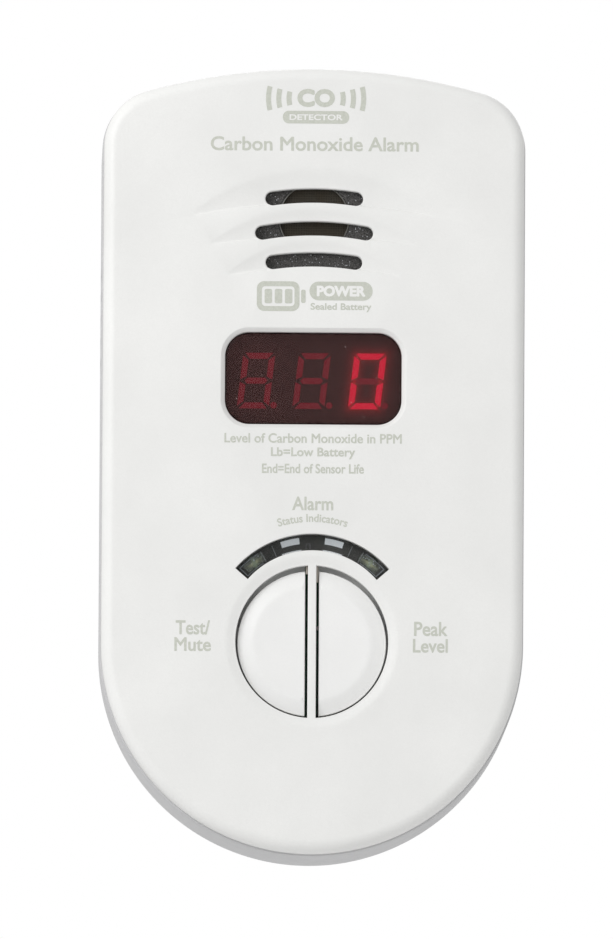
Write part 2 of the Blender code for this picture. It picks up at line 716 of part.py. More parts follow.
def battery(finishes):
    cell_y = -CELL_DEPTH
    along_x = Matrix.Rotation(math.pi / 2, 4, "Y")

    def lying(name, radius, half_length, finish=None):
        shape = bmesh.new()
        bmesh.ops.create_cone(
            shape, cap_ends=True, segments=32, radius1=radius, radius2=radius, depth=2 * half_length
        )
        place = Matrix.Translation((0, cell_y, CELL_Z))
        bmesh.ops.transform(shape, matrix=place @ along_x, verts=shape.verts)
        return mesh_object(name, shape, finish)

    lying("battery_cell", CELL_RADIUS, CELL_HALF_LENGTH, finishes["battery_sleeve"])
    reach = CELL_RADIUS + GAP
    wall = 1.1 * MM
    seat = 23.1 * MM
    holder = box(
        "battery_holder",
        (-seat - wall, seat + wall),
        (CELL_Z - reach - wall, CELL_Z + reach + wall),
        (CELL_DEPTH, HOUSING_INNER + GAP),
        finishes["black_plastic"],
    )
    cut(holder, lying("cell_seat", reach, seat))
    tab_front = CELL_DEPTH + 6.5 * MM
    tab_back = CELL_DEPTH - 5 * MM
    tab = CELL_HALF_LENGTH + GAP
    tab_z = (CELL_Z - 2.5 * MM, CELL_Z + 2.5 * MM)
    for name, side in (("positive", 1), ("negative", -1)):
        tab_x = sorted((side * tab, side * (tab + 0.5 * MM)))
        box(f"battery_tab_{name}", tab_x, tab_z, (tab_front, tab_back), finishes["contact_metal"])
    for name, side in (("red", 1), ("black", -1)):
        wire(f"battery_wire_{name}", side, tab + 0.6 * MM, tab_front, finishes[f"{name}_wire"])


def wire(name, side, tab_x, tab_front, finish):
    """A lead from a battery tab up to the header, a round tube on a smooth curve."""
    start_depth = tab_front + 2.5 * GAP
    run_depth = tab_front + 1.3 * MM
    header_z = -34 * MM - GAP
    controls = [
        Vector((tab_x, -start_depth, CELL_Z)),
        Vector((tab_x + 0.2 * MM, -run_depth, CELL_Z + 2 * MM)),
        Vector((tab_x + 0.2 * MM, -run_depth, CELL_Z + 8 * MM)),
        Vector((20 * MM, -20.5 * MM, CELL_Z + 12 * MM)),
        Vector((8 * MM, -20.5 * MM, CELL_Z + 12.3 * MM)),
        Vector((2.4 * MM, -20.5 * MM, CELL_Z + 12.6 * MM)),
        Vector((2 * MM, -20.5 * MM, header_z)),
    ]
    line = smooth_line(controls, 4)
    curve = bpy.data.curves.new(name, "CURVE")
    curve.dimensions = "3D"
    curve.bevel_depth = 0.55 * MM
    curve.bevel_resolution = 2
    curve.use_fill_caps = True
    spline = curve.splines.new("POLY")
    spline.points.add(len(line) - 1)
    for point, at in zip(spline.points, line):
        point.co = (side * at.x, at.y, at.z, 1)
    link(bpy.data.objects.new(name, curve), finish)


def smooth_line(controls, steps):
    """Catmull-Rom points through the controls."""
    ends = [2 * controls[0] - controls[1], *controls, 2 * controls[-1] - controls[-2]]
    line = []
    for a, b, c, d in zip(ends, ends[1:], ends[2:], ends[3:]):
        for i in range(steps):
            t = i / steps
            line.append(
                b
                + 0.5 * (c - a) * t
                + (a - 2.5 * b + 2 * c - 0.5 * d) * t**2
                + 0.5 * (3 * b - a - 3 * c + d) * t**3
            )
    return [*line, controls[-1]]


# Rear housing, bracket and fasteners


def rear_housing(finish):
    housing = bevelled_plate(
        "rear_housing",
        case_outline(-HOUSING_PROUD),
        PARTING - GAP / 2,
        HOUSING_BACK,
        HOUSING_BACK,
        1.2 * MM,
        3,
        finish,
    )
    cut(housing, plate("housing_cavity", [case_outline(HOUSING_WALL)], PARTING + MM, HOUSING_INNER))
    low_x, high_x, low_z, high_z = RECESS
    grown = (low_x - RECESS_WALL, high_x + RECESS_WALL, low_z - RECESS_WALL, high_z + RECESS_WALL)
    join(
        housing,
        plate("recess_shell", [rounded_rectangle(*grown, 5 * MM)], RECESS_INNER, HOUSING_INNER - OVERLAP),
        *(
            turned(f"tube_{i}", at, 3.75 * MM, BOSS_END - GAP, HOUSING_INNER - OVERLAP, segments=18)
            for i, at in enumerate(CASE_SCREWS)
        ),
    )
    slider_x, slider_z = SLIDER
    slider_way = (slider_z - 1.5 * MM - SLIDER_TRAVEL - GAP, slider_z + 1.5 * MM + GAP)
    half_slot = HOOK_WIDTH / 2 + 0.6 * MM
    through_floor = (RECESS_INNER + MM, RECESS_FLOOR - MM)
    cut(
        housing,
        plate("recess", [rounded_rectangle(*RECESS, 3 * MM)], RECESS_FLOOR, -MM),
        *(
            turned(f"counterbore_{i}", at, 3.1 * MM, 19 * MM, -MM, segments=18)
            for i, at in enumerate(CASE_SCREWS)
        ),
        *(
            turned(f"screw_way_{i}", at, 1.7 * MM, BOSS_END + MM, 18 * MM, segments=12)
            for i, at in enumerate(CASE_SCREWS)
        ),
        *(
            box(f"hook_slot_{i}", (x - half_slot, x + half_slot), (top - 9.2 * MM, top + GAP), through_floor)
            for i, (x, top) in enumerate(HOOKS)
        ),
        box("slider_slot", (slider_x - 1.3 * MM, slider_x + 1.3 * MM), slider_way, through_floor),
        *(
            box(
                f"side_vent_{side}_{i}",
                sorted((side * 34 * MM, side * 40 * MM)),
                (VENT_Z + VENT_PITCH * i, VENT_Z + VENT_PITCH * i + VENT_HEIGHT),
                VENT_DEPTHS,
            )
            for side in (-1, 1)
            for i in range(VENT_COUNT)
        ),
    )


def keyhole(centre_z, steps=14):
    """A round hole for a screw head, with a narrower slot above it for the shank."""
    spread = math.asin(SCREW_SLOT_RADIUS / SCREW_HEAD_RADIUS)
    upright = math.pi / 2
    slot_z = centre_z + SCREW_HEAD_RADIUS + 0.5 * MM
    return arc((0, centre_z), SCREW_HEAD_RADIUS, upright + spread, upright - spread + 2 * math.pi, steps) + arc(
        (0, slot_z), SCREW_SLOT_RADIUS, 0, math.pi, 6
    )


def wall_bracket(finish):
    """The plate that stays on the wall, with two keyholes for screws and four hooks that the case hangs on."""
    bracket = plate("wall_bracket", [rounded_rectangle(*BRACKET, 4 * MM)], BRACKET_THICKNESS, 0, finish)
    for i, (x, top) in enumerate(HOOKS):
        across = (x - HOOK_WIDTH / 2, x + HOOK_WIDTH / 2)
        stem_depths = (HOOK_REACH - OVERLAP, BRACKET_THICKNESS - OVERLAP)
        lip_depths = (HOOK_REACH, HOOK_REACH - HOOK_LIP_THICKNESS)
        join(
            bracket,
            box(f"hook_stem_{i}", across, (top - HOOK_STEM, top), stem_depths),
            box(f"hook_lip_{i}", across, (top - HOOK_STEM, top + HOOK_LIP), lip_depths),
        )
    windows = [(side * 15 * MM, 5 * MM) for side in (-1, 1)]
    front = BRACKET_THICKNESS + MM
    cut(
        bracket,
        *(plate(f"keyhole_{i}", [keyhole(z)], front, -MM) for i, z in enumerate(SCREW_HOLES_Z)),
        *(
            plate(f"bracket_window_{i}", [centred_rectangle(at, (9 * MM, 13 * MM), 2 * MM)], front, -MM)
            for i, at in enumerate(windows)
        ),
    )


def screws(finish):
    """Pan-head screws: four through the housing into the cover, four that hold the board."""
    for i, at in enumerate(CASE_SCREWS, 1):
        seat = 19 * MM - GAP
        screw(f"case_screw_{i}", at, 2.75 * MM, 2 * MM, 1.3 * MM, seat, 29 * MM, finish)
    for i, at in enumerate(BOARD_SCREWS, 1):
        screw(f"board_screw_{i}", at, 2.2 * MM, 1.5 * MM, 1.0 * MM, BOARD_BACK - GAP, 30 * MM, finish)


def screw(name, at, head_radius, head_height, shank_radius, seat, tip, finish):
    head = turned(
        name, at, 0.75 * head_radius, seat, seat - head_height, finish, front_radius=head_radius, segments=24
    )
    join(head, turned(f"{name}_shank", at, shank_radius, tip, seat - OVERLAP, segments=16))
    depth = seat - head_height
    arm, half_arm = 1.3 * MM, 0.3 * MM
    for i, (half_x, half_z) in enumerate(((half_arm, arm), (arm, half_arm))):
        square = (at[0] - half_x, at[0] + half_x), (at[1] - half_z, at[1] + half_z)
        cut(head, box(f"{name}_cross_{i}", *square, (depth + 0.9 * MM, depth - MM)))


def main():
    empty_scene()
    finishes = materials()
    white = finishes["white_abs"]
    front_cover(white)
    display_window(finishes["red_filter"])
    status_lens(finishes["smoke_lens"])
    status_lamps(finishes["black_plastic"], finishes["led_epoxy"])
    for name, side in (("test", -1), ("peak", 1)):
        button(f"{name}_button", side, white)
        press_switch(f"{name}_switch", side, finishes["steel"], finishes["black_plastic"])
    sounder(finishes)
    main_board(finishes["board"])
    board_parts(finishes)
    power_switch(finishes)
    battery(finishes)
    rear_housing(white)
    wall_bracket(finishes["bracket_abs"])
    screws(finishes["steel"])
    plate(
        "rating_label",
        [rounded_rectangle(-20 * MM, 20 * MM, -62 * MM, -44 * MM, 2 * MM)],
        HOUSING_BACK - GAP,
        HOUSING_BACK - GAP - 0.4 * MM,
        finishes["label"],
    )


main()
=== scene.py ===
"""The looks of the carbon monoxide detector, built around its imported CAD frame.

Metres, +Z up, front towards -Y. A depth is measured from the wall towards the front.
"""

import json
from math import acos, asin, atan2, cos, dist, hypot, pi, radians, sin, sqrt

import bmesh
import bpy
import numpy as np
from mathutils import Matrix, Vector, geometry, kdtree

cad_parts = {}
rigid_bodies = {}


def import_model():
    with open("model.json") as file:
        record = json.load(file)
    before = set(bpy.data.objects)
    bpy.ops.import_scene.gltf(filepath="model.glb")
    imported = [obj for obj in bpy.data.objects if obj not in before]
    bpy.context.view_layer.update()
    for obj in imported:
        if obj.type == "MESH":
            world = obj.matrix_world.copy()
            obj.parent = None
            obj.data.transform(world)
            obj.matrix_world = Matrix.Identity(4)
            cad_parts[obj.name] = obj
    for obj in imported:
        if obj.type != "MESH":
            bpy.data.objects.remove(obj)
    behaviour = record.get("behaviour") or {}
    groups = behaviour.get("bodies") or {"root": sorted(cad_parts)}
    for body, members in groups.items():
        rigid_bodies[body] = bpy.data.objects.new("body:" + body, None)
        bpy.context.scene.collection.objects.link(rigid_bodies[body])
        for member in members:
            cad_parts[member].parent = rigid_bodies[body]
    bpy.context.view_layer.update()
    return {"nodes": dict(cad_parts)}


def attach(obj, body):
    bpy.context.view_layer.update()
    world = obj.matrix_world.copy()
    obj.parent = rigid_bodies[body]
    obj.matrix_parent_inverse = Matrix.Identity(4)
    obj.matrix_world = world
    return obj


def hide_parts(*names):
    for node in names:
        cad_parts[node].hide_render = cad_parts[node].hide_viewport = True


MM = 0.001
UP = pi / 2  # the angle of straight up in an outline
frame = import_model()

PRINT = 0.03 * MM  # how far the printed marks stand out of the face
FACE = 36 * MM - PRINT
INNER = 33.8 * MM  # the inside of the cover's front wall
HALF_WIDTH = 38 * MM
TOP_Z, TOP_RADIUS = 71 * MM, 112 * MM
SHOULDER_X, SHOULDER_RADIUS = 27.5 * MM, 10.5 * MM
BUTTON_Z = -33 * MM
BUTTON_EDGE = 1.25 * MM  # from the middle of the face to a button's straight edge
LENS_Z = -31.9 * MM
LENS_RADIUS = 16.9 * MM  # of the lens's middle line
LAMP_TURN = radians(38)  # off the vertical, to each side
LAMPS = [(side * LENS_RADIUS * sin(LAMP_TURN), LENS_Z + LENS_RADIUS * cos(LAMP_TURN)) for side in (-1, 1)]
DISPLAY_Z = 14.7 * MM
DIGIT_X = (-10.3 * MM, -0.25 * MM, 9.8 * MM)
DIGIT_Z = 14.5 * MM
SLANT = 0.118
SOUNDER = (0, 43.9 * MM)


def in_mm(*pairs):
    return [(a * MM, b * MM) for a, b in pairs]


# Outlines, lists of (x, z). Each takes how far it is grown outwards.


def arc(centre, radius, start, end, steps):
    turns = [start + (end - start) * i / steps for i in range(steps + 1)]
    return [(centre[0] + radius * cos(a), centre[1] + radius * sin(a)) for a in turns]


def circle(centre, radius, steps=48):
    return arc(centre, radius, 0, 2 * pi, steps)[:-1]


def without_repeats(loop):
    return [p for p, q in zip(loop, loop[-1:] + loop[:-1]) if dist(p, q) > 1e-7]


def case_outline(grow):
    centre = TOP_Z - TOP_RADIUS
    lean = asin(SHOULDER_X / (TOP_RADIUS - SHOULDER_RADIUS))
    shoulder_z = centre + (TOP_RADIUS - SHOULDER_RADIUS) * cos(lean)
    shoulder = SHOULDER_RADIUS + grow
    left = [(-HALF_WIDTH - grow, shoulder_z - 8 * MM * i) for i in range(1, 11)]
    right = [(-x, z) for x, z in reversed(left)]
    return (
        arc((0, BUTTON_Z), HALF_WIDTH + grow, pi, 2 * pi, 120)
        + right
        + arc((SHOULDER_X, shoulder_z), shoulder, 0, UP - lean, 24)
        + arc((0, centre), TOP_RADIUS + grow, UP - lean, UP + lean, 60)[1:-1]
        + arc((-SHOULDER_X, shoulder_z), shoulder, UP + lean, pi, 24)
        + left
    )


def rounded(centre, size, radius, grow=0.0, steps=12):
    half_x, half_z = size[0] / 2 + grow, size[1] / 2 + grow
    r = radius + grow
    x, z = centre
    loop = []
    for i, (sx, sz) in enumerate(((1, 1), (-1, 1), (-1, -1), (1, -1))):
        loop += arc((x + sx * (half_x - r), z + sz * (half_z - r)), r, i * UP, (i + 1) * UP, steps)
    return loop


def rectangle(xs, zs, radius, grow=0.0, steps=6):
    return rounded((sum(xs) / 2, sum(zs) / 2), (xs[1] - xs[0], zs[1] - zs[0]), radius, grow, steps)


def half_disc(side, edge_x, radii, centre_z, grow=0.0, steps=72):
    """The share of an ellipse that lies on one side, beyond a straight edge."""
    rx, rz = radii[0] + grow, radii[1] + grow
    edge = edge_x - grow
    start = acos(edge / rx)
    turns = [start - 2 * start * i / steps for i in range(steps + 1)]
    loop = [(side * rx * cos(a), centre_z + rz * sin(a)) for a in turns]
    low, high = loop[-1][1], loop[0][1]
    return loop + [(side * edge, low + (high - low) * i / 16) for i in range(1, 16)]


def sector(inner, outer, end, grow=0.0, steps=60, start=None):
    """A piece of a ring about the lens's centre, from start, or -end, to end, in degrees off the top."""
    inner, outer = inner - grow, outer + grow
    low, high = radians(-end if start is None else start), radians(end)
    past_outer, past_inner = (asin(grow / r) for r in (outer, inner))
    centre = (0, LENS_Z)
    return arc(centre, outer, UP - high - past_outer, UP - low + past_outer, steps) + arc(
        centre, inner, UP - low + past_inner, UP - high - past_inner, steps
    )


def slot(centre_z, length, height, radius, grow=0.0, steps=24):
    """A slot with round ends, whose middle line is an arc."""
    end = height / 2 + grow
    swing = (length - height) / 2 / radius
    centre = (0, centre_z - radius)
    x, z = radius * sin(swing), centre[1] + radius * cos(swing)
    return (
        arc(centre, radius + end, UP - swing, UP + swing, steps)
        + arc((-x, z), end, UP + swing, UP + swing + pi, 14)[1:-1]
        + arc(centre, radius - end, UP + swing, UP - swing, steps)
        + arc((x, z), end, -UP - swing, UP - swing, 14)[1:-1]
    )


def fillet(radius, front, steps=8):
    """(grow, depth) pairs of a rounded edge, from the face at depth front to the wall below it."""
    turns = [UP * i / steps for i in range(steps + 1)]
    return [(radius * (sin(a) - 1), front - radius * (1 - cos(a))) for a in turns]


def within(points, loops):
    """Which of the points are inside the loops, by the even-odd rule."""
    hit = np.zeros(len(points), bool)
    x, z = points[:, 0], points[:, 1]
    for loop in loops:
        for (px, pz), (qx, qz) in zip(loop, loop[1:] + loop[:1]):
            if pz == qz:
                continue
            crosses = (pz > z) != (qz > z)
            hit ^= crosses & (x < (qx - px) * (z - pz) / (qz - pz) + px)
    return hit


def filled(loops, points=()):
    """Triangles over closed loops and points: corners, each one's sources, triangles and middles."""
    flat, edges = [], []
    for loop in loops:
        first = len(flat)
        flat += [Vector(p) for p in loop]
        edges += [(first + i, first + (i + 1) % len(loop)) for i in range(len(loop))]
    flat += [Vector(p) for p in points]
    spots, _, tris, sources, _, _ = geometry.delaunay_2d_cdt(flat, edges, [], 0, 1e-9)
    spots, tris = np.array([tuple(s) for s in spots]), np.array(tris)
    return spots, sources, tris, spots[tris].mean(axis=1)


def apart(points, least, clear_of=(), clear=0.0):
    """The points, in order, that keep their distance from those already taken and from some loops."""
    dense = [
        (p[0] + (q[0] - p[0]) * k / 4, p[1] + (q[1] - p[1]) * k / 4)
        for loop in clear_of
        for p, q in zip(loop, loop[1:] + loop[:1])
        for k in range(4)
    ]
    tree = kdtree.KDTree(len(dense))
    for i, (x, z) in enumerate(dense):
        tree.insert((x, 0, z), i)
    tree.balance()
    cells, kept = {}, []
    for x, z in points:
        i, j = round(x / least), round(z / least)
        close = [q for di in (-1, 0, 1) for dj in (-1, 0, 1) for q in cells.get((i + di, j + dj), ())]
        if any(dist((x, z), q) < least for q in close):
            continue
        if dense and tree.find((x, 0, z))[2] < clear:
            continue
        cells.setdefault((i, j), []).append((x, z))
        kept.append((x, z))
    return kept


# Solids made of rings, the strips between them and flat or shaped caps


class Solid:
    def __init__(self):
        self.points = []
        self.faces = []

    def ring(self, loop, depth, sink=None):
        """sink, where given, is how far each point lies below the depth."""
        first = len(self.points)
        self.points += [(x, -depth + (sink[i] if sink else 0), z) for i, (x, z) in enumerate(loop)]
        return list(range(first, len(self.points)))

    def strip(self, *rings):
        for a, b in zip(rings, rings[1:]):
            self.faces += [(a[i - 1], a[i], b[i], b[i - 1]) for i in range(len(a))]

    def wall(self, outline, profile, sink=None):
        """Rings of one outline at the profile's (grow, depth) pairs, joined up. The last one isn't sunk."""
        last = len(profile) - 1
        rings = [
            self.ring(without_repeats(outline(grow)), depth, sink if i < last else None)
            for i, (grow, depth) in enumerate(profile)
        ]
        self.strip(*rings)
        return rings[0], rings[-1]

    def cap(self, outer, holes=(), points=(), depth=None, height=None):
        """Fills between rings with triangles that also pass through the points, height below the depth."""
        known = [i for loop in (outer, *holes) for i in loop]
        bounds = [[(self.points[i][0], self.points[i][2]) for i in loop] for loop in (outer, *holes)]
        spots, sources, tris, middles = filled(bounds, points)
        index = {}

        def of(i):
            if i not in index:
                if sources[i] and sources[i][0] < len(known):
                    index[i] = known[sources[i][0]]
                else:
                    x, z = spots[i]
                    index[i] = len(self.points)
                    self.points.append((x, -depth + (height(x, z) if height else 0), z))
            return index[i]

        kept = within(middles, bounds[:1]) & ~within(middles, bounds[1:])
        self.faces += [tuple(of(i) for i in tri) for tri in tris[kept]]

    def mesh(self, name):
        mesh = bpy.data.meshes.new(name)
        mesh.from_pydata(self.points, [], self.faces)
        shape = bmesh.new()
        shape.from_mesh(mesh)
        bmesh.ops.remove_doubles(shape, verts=shape.verts, dist=1e-8)
        bmesh.ops.recalc_face_normals(shape, faces=shape.faces)
        shape.to_mesh(mesh)
        shape.free()
        return mesh

    def piece(self, name, body, finish, replaces=(), slot_name=None):
        return settle(bpy.data.objects.new(name, self.mesh(name)), body, finish, replaces)


def settle(obj, body, finish, replaces=()):
    bpy.context.scene.collection.objects.link(obj)
    obj.data.materials.clear()
    obj.data.materials.append(finish)
    if obj.type == "MESH":
        shade(obj.data)
    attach(obj, body)
    if replaces:
        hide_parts(*replaces)
    return obj


def shade(mesh):
    mesh.shade_smooth()
    mesh.set_sharp_from_angle(angle=radians(38))


def tile(name, loop, finish, front=32.38 * MM, back=32.28 * MM, slot_name="red_filter"):
    """A thin flat piece of some outline."""
    s = Solid()
    a, b = s.ring(loop, front), s.ring(loop, back)
    s.strip(a, b)
    s.cap(a)
    s.cap(b)
    return s.piece(name, "alarm", finish, slot_name=slot_name)


def smooth(t):
    t = min(max(t, 0.0), 1.0)
    return t * t * (3 - 2 * t)


def eased(t, ease):
    """t, but 0 below -ease, with a rounded corner between."""
    if t < -ease:
        return 0.0
    return t if t > ease else (t + ease) ** 2 / (4 * ease)


# Materials


class Nodes:
    """Short ways to add nodes to a tree. An input is a number, a colour or another node's output."""

    def __init__(self, tree):
        self.tree = tree

    def connect(self, value, socket):
        if isinstance(value, bpy.types.NodeSocket):
            self.tree.links.new(value, socket)
        elif isinstance(value, tuple) and len(socket.default_value) == 4:
            socket.default_value = (*value, 1)
        else:
            socket.default_value = value

    def add(self, kind, inputs, out=0, **settings):
        node = self.tree.nodes.new("ShaderNode" + kind)
        for key, value in settings.items():
            setattr(node, key, value)
        for key, value in inputs.items():
            self.connect(value, node.inputs[key])
        return node.outputs[out]

    def math(self, operation, a, b=0.0, clamp=False):
        return self.add("Math", {0: a, 1: b}, operation=operation, use_clamp=clamp)

    def plus(self, a, b):
        return self.math("ADD", a, b)

    def minus(self, a, b):
        return self.math("SUBTRACT", a, b)

    def times(self, a, b):
        return self.math("MULTIPLY", a, b)

    def size(self, a):
        return self.math("ABSOLUTE", a)

    def bell(self, a, width):
        """1 where the value is 0, falling away as a Gaussian over the width."""
        return self.math("EXPONENT", self.times(self.times(a, a), -1 / width**2))

    def axes(self, vector):
        return [self.add("SeparateXYZ", {"Vector": vector}, out=i) for i in range(3)]

    def remap(self, value, low, high, to_low=0.0, to_high=1.0, **settings):
        ends = {"From Min": low, "From Max": high, "To Min": to_low, "To Max": to_high}
        return self.add("MapRange", {"Value": value, **ends}, **settings)


class Finish(Nodes):
    """A Principled material. Patterns are placed by object coordinates, in metres."""

    def __init__(self, name, **sockets):
        self.material = bpy.data.materials.new(name)
        self.material.use_nodes = True
        super().__init__(self.material.node_tree)
        self.shader = self.tree.nodes["Principled BSDF"]
        self.place = self.tree.nodes.new("ShaderNodeTexCoord").outputs["Object"]
        for name, value in sockets.items():
            self.set(name.replace("_", " ").title().replace("Ior", "IOR"), value)

    def set(self, socket, value):
        self.connect(value, self.shader.inputs[socket])

    def noise(self, size, detail=2.0, rough=0.5, place=None):
        inputs = {"Vector": place or self.place, "Scale": 1 / size, "Detail": detail, "Roughness": rough}
        return self.add("TexNoise", inputs)

    def cells(self, size, feature="F1", out=0, **inputs):
        inputs = {"Vector": self.place, "Scale": 1 / size, **inputs}
        return self.add("TexVoronoi", inputs, out=out, feature=feature)

    def cell_value(self, size):
        """A random number for each cell."""
        return self.add("SeparateColor", {"Color": self.cells(size, out=1)})

    def stretched(self, *scale):
        return self.add("Mapping", {"Vector": self.place, "Scale": Vector(scale)})

    def mix(self, share, a, b):
        return self.add("Mix", {0: share, 6: a, 7: b}, out=2, data_type="RGBA")

    def bump(self, height, distance, normal=None):
        inputs = {"Height": height, "Distance": distance, "Strength": 1.0}
        if normal:
            inputs["Normal"] = normal
        return self.add("Bump", inputs)

    def glow(self, colour, strength):
        """A weak glow, which the light sampling passes over."""
        self.set("Emission Color", colour)
        self.set("Emission Strength", strength)
        self.material.cycles.emission_sampling = "NONE"


def scaled(colour, share):
    return tuple(min(1, c * share) for c in colour)


def moulded(name, colour, roughness=0.45, grain=0.35 * MM, relief=1.5e-5, blotch=0.02, glow=0.0):
    """Injection-moulded plastic with a fine spark-eroded texture, faint flow marks and handling marks."""
    f = Finish(name)
    wide = f.noise(18 * MM, 3)
    fine = f.noise(grain, 3, 0.6)
    specks = f.remap(f.cells(1.7 * MM), 0.0, 0.07, 1.0, 0.0)
    base = f.mix(f.remap(wide, 0.3, 0.7), scaled(colour, 1 - 2.2 * blotch), scaled(colour, 1 + blotch))
    base = f.mix(f.remap(fine, 0.35, 0.75, 0, 0.35), base, scaled(colour, 0.93))
    f.set("Base Color", f.mix(f.times(specks, 0.25), base, scaled(colour, 0.8)))
    rubs = f.noise(5 * MM, 4, 0.6, f.stretched(1, 1, 0.35))
    f.set("Roughness", f.remap(rubs, 0.3, 0.7, roughness - 0.05, roughness + 0.07))
    coarse = f.bump(f.cells(grain * 1.6, "SMOOTH_F1"), relief)
    f.set("Normal", f.bump(fine, relief * 1.2, coarse))
    # Where asked for, a glow of the plastic's own: painted light.
    if glow:
        f.glow((0.85, 0.93, 1.0), f.remap(wide, 0.3, 0.7, glow * 0.8, glow * 1.2))
    return f.material


def metal(name, colour, roughness=0.3, brushed=(1, 1, 12)):
    f = Finish(name, metallic=1.0)
    streaks = f.noise(1.2 * MM, 4, 0.6, f.stretched(*brushed))
    tarnish = f.noise(6 * MM, 3)
    f.set("Base Color", f.mix(f.remap(tarnish, 0.4, 0.75), colour, scaled(colour, 0.8)))
    f.set("Roughness", f.remap(streaks, 0.3, 0.7, roughness - 0.06, roughness + 0.12))
    f.set("Normal", f.bump(streaks, 3e-6))
    return f.material


def circuit_board():
    f = Finish("solder_mask", coat_weight=0.3)
    traces = f.cells(2.6 * MM, "DISTANCE_TO_EDGE", Randomness=0.35)
    copper = f.remap(traces, 0.06, 0.09, 1.0, 0.0)
    pads = f.remap(f.cells(3.1 * MM, Randomness=0.5), 0.14, 0.17, 1.0, 0.0)
    mask = f.mix(copper, (0.012, 0.10, 0.045), (0.025, 0.19, 0.08))
    f.set("Base Color", f.mix(pads, mask, (0.62, 0.60, 0.55)))
    f.set("Metallic", f.times(pads, 0.8))
    f.set("Roughness", f.remap(f.noise(0.6 * MM), 0.3, 0.7, 0.3, 0.5))
    f.set("Normal", f.bump(copper, 2e-5))
    return f.material


def foam():
    """Dark open-cell foam, with painted glints in specks over it and painted shade in its pores."""
    f = Finish("open_cell_foam", specular_ior_level=0.6)
    cell_size, glint_size = 0.34 * MM, 0.26 * MM
    wall = f.cells(cell_size, "DISTANCE_TO_EDGE")
    grain = f.noise(0.16 * MM, 3, 0.7)
    patches = f.remap(f.noise(2.2 * MM, 2), 0.42, 0.62, 0.0, 0.12)
    # Painted glints: chosen cells turn into bright specks in the base colour.
    painted_glint = f.remap(f.plus(f.cell_value(glint_size), patches), 0.90, 0.98)
    painted_glint = f.times(painted_glint, f.remap(f.cells(glint_size), 0.10, 0.42, 1.0, 0.0))
    # Painted shade: each pore is darker in its middle than at the walls round it.
    shade = f.mix(f.remap(wall, 0.0, 0.14, 1.0, 0.0), (0.022, 0.021, 0.020), (0.085, 0.082, 0.080))
    shade = f.mix(f.remap(grain, 0.45, 0.72, 0.0, 0.85), shade, (0.17, 0.165, 0.16))
    f.set("Base Color", f.mix(painted_glint, shade, (0.85, 0.87, 0.92)))
    f.set("Roughness", f.remap(painted_glint, 0.0, 1.0, 0.85, 0.25))
    f.set("Normal", f.bump(f.cells(cell_size), 1.2e-4, f.bump(grain, 5e-5)))
    return f.material


def acoustic_cloth():
    """A fine dark brown weave."""
    f = Finish("acoustic_cloth", specular_ior_level=0.3)
    threads = {"Vector": f.place, "Scale": 700.0, "Distortion": 1.2}
    over, under = (f.add("TexWave", threads, out=1, bands_direction=axis) for axis in "XZ")
    weave = f.math("MAXIMUM", over, under)
    wide = f.noise(3 * MM, 3)
    base = f.mix(f.remap(weave, 0.3, 1.0), (0.026, 0.023, 0.017), (0.060, 0.053, 0.040))
    f.set("Base Color", f.mix(f.remap(wide, 0.35, 0.7, 0.0, 0.6), base, (0.050, 0.040, 0.027)))
    f.set("Roughness", f.remap(wide, 0.3, 0.7, 0.7, 0.9))
    f.set("Normal", f.bump(weave, 3e-5))
    return f.material


def clear_tint(name, colour, alpha, roughness=0.06, dust=0.5):
    """A polished tinted plastic, seen through, with specks of dust and fine rubs."""
    f = Finish(name, ior=1.49, specular_ior_level=0.25)
    speck_size = 1.15 * MM
    specks = f.remap(f.cells(speck_size), 0.05, 0.10, 1.0, 0.0)
    specks = f.times(f.times(specks, f.remap(f.cell_value(speck_size), 0.93, 0.96)), dust)
    tint = f.mix(f.remap(f.noise(7 * MM, 2), 0.3, 0.7), colour, scaled(colour, 1.25))
    f.set("Base Color", f.mix(specks, tint, (0.7, 0.66, 0.64)))
    f.set("Alpha", f.math("ADD", specks, alpha, clamp=True))
    rubs = f.noise(1.4 * MM, 5, 0.6, f.stretched(1, 1, 0.2))
    f.set("Roughness", f.remap(rubs, 0.35, 0.75, roughness, roughness + 0.12))
    f.set("Normal", f.bump(f.noise(4 * MM), 4e-6))
    return f.material


def display_face():
    """The display's dark face, with the glow that the lit digit spreads over it."""
    f = Finish("display_face")
    x, _, z = f.axes(f.place)
    up = f.minus(z, DIGIT_Z)
    across = f.minus(f.minus(x, DIGIT_X[2]), f.times(up, SLANT))
    # The distance from the lit digit's outline, a box about its middle.
    sides = [f.minus(f.size(across), 2.35 * MM), f.minus(f.size(up), 4.55 * MM)]
    past = [f.math("MAXIMUM", side, 0.0) for side in sides]
    outer = f.math("SQRT", f.plus(*(f.times(side, side) for side in past)))
    inner = f.math("MINIMUM", f.math("MAXIMUM", *sides), 0.0)
    far = f.size(f.plus(outer, inner))
    glow = f.math("EXPONENT", f.times(far, -1 / (0.66 * MM)))
    glow = f.times(glow, f.remap(f.noise(0.3 * MM, 3), 0.3, 0.7, 0.6, 1.4))
    cloudy = f.remap(f.noise(2 * MM, 2), 0.3, 0.7)
    f.set("Base Color", f.mix(cloudy, (0.047, 0.015, 0.014), (0.055, 0.019, 0.017)))
    f.set("Roughness", f.remap(f.noise(0.9 * MM), 0.3, 0.7, 0.5, 0.7))
    f.glow((1.0, 0.03, 0.05), f.times(glow, 0.7))
    f.set("Normal", f.bump(f.noise(1.5 * MM), 5e-6))
    return f.material


def diffuser(name, colour, glow, strength):
    """A cast diffuser of the display's digits, a little uneven."""
    f = Finish(name)
    grain = f.noise(0.35 * MM, 3)
    f.set("Base Color", f.mix(f.remap(grain, 0.3, 0.7), colour, scaled(colour, 0.72)))
    f.set("Roughness", f.remap(grain, 0.3, 0.7, 0.35, 0.55))
    f.glow(glow, f.remap(grain, 0.25, 0.75, strength * 0.85, strength * 1.12))
    f.set("Normal", f.bump(grain, 6e-6))
    return f.material


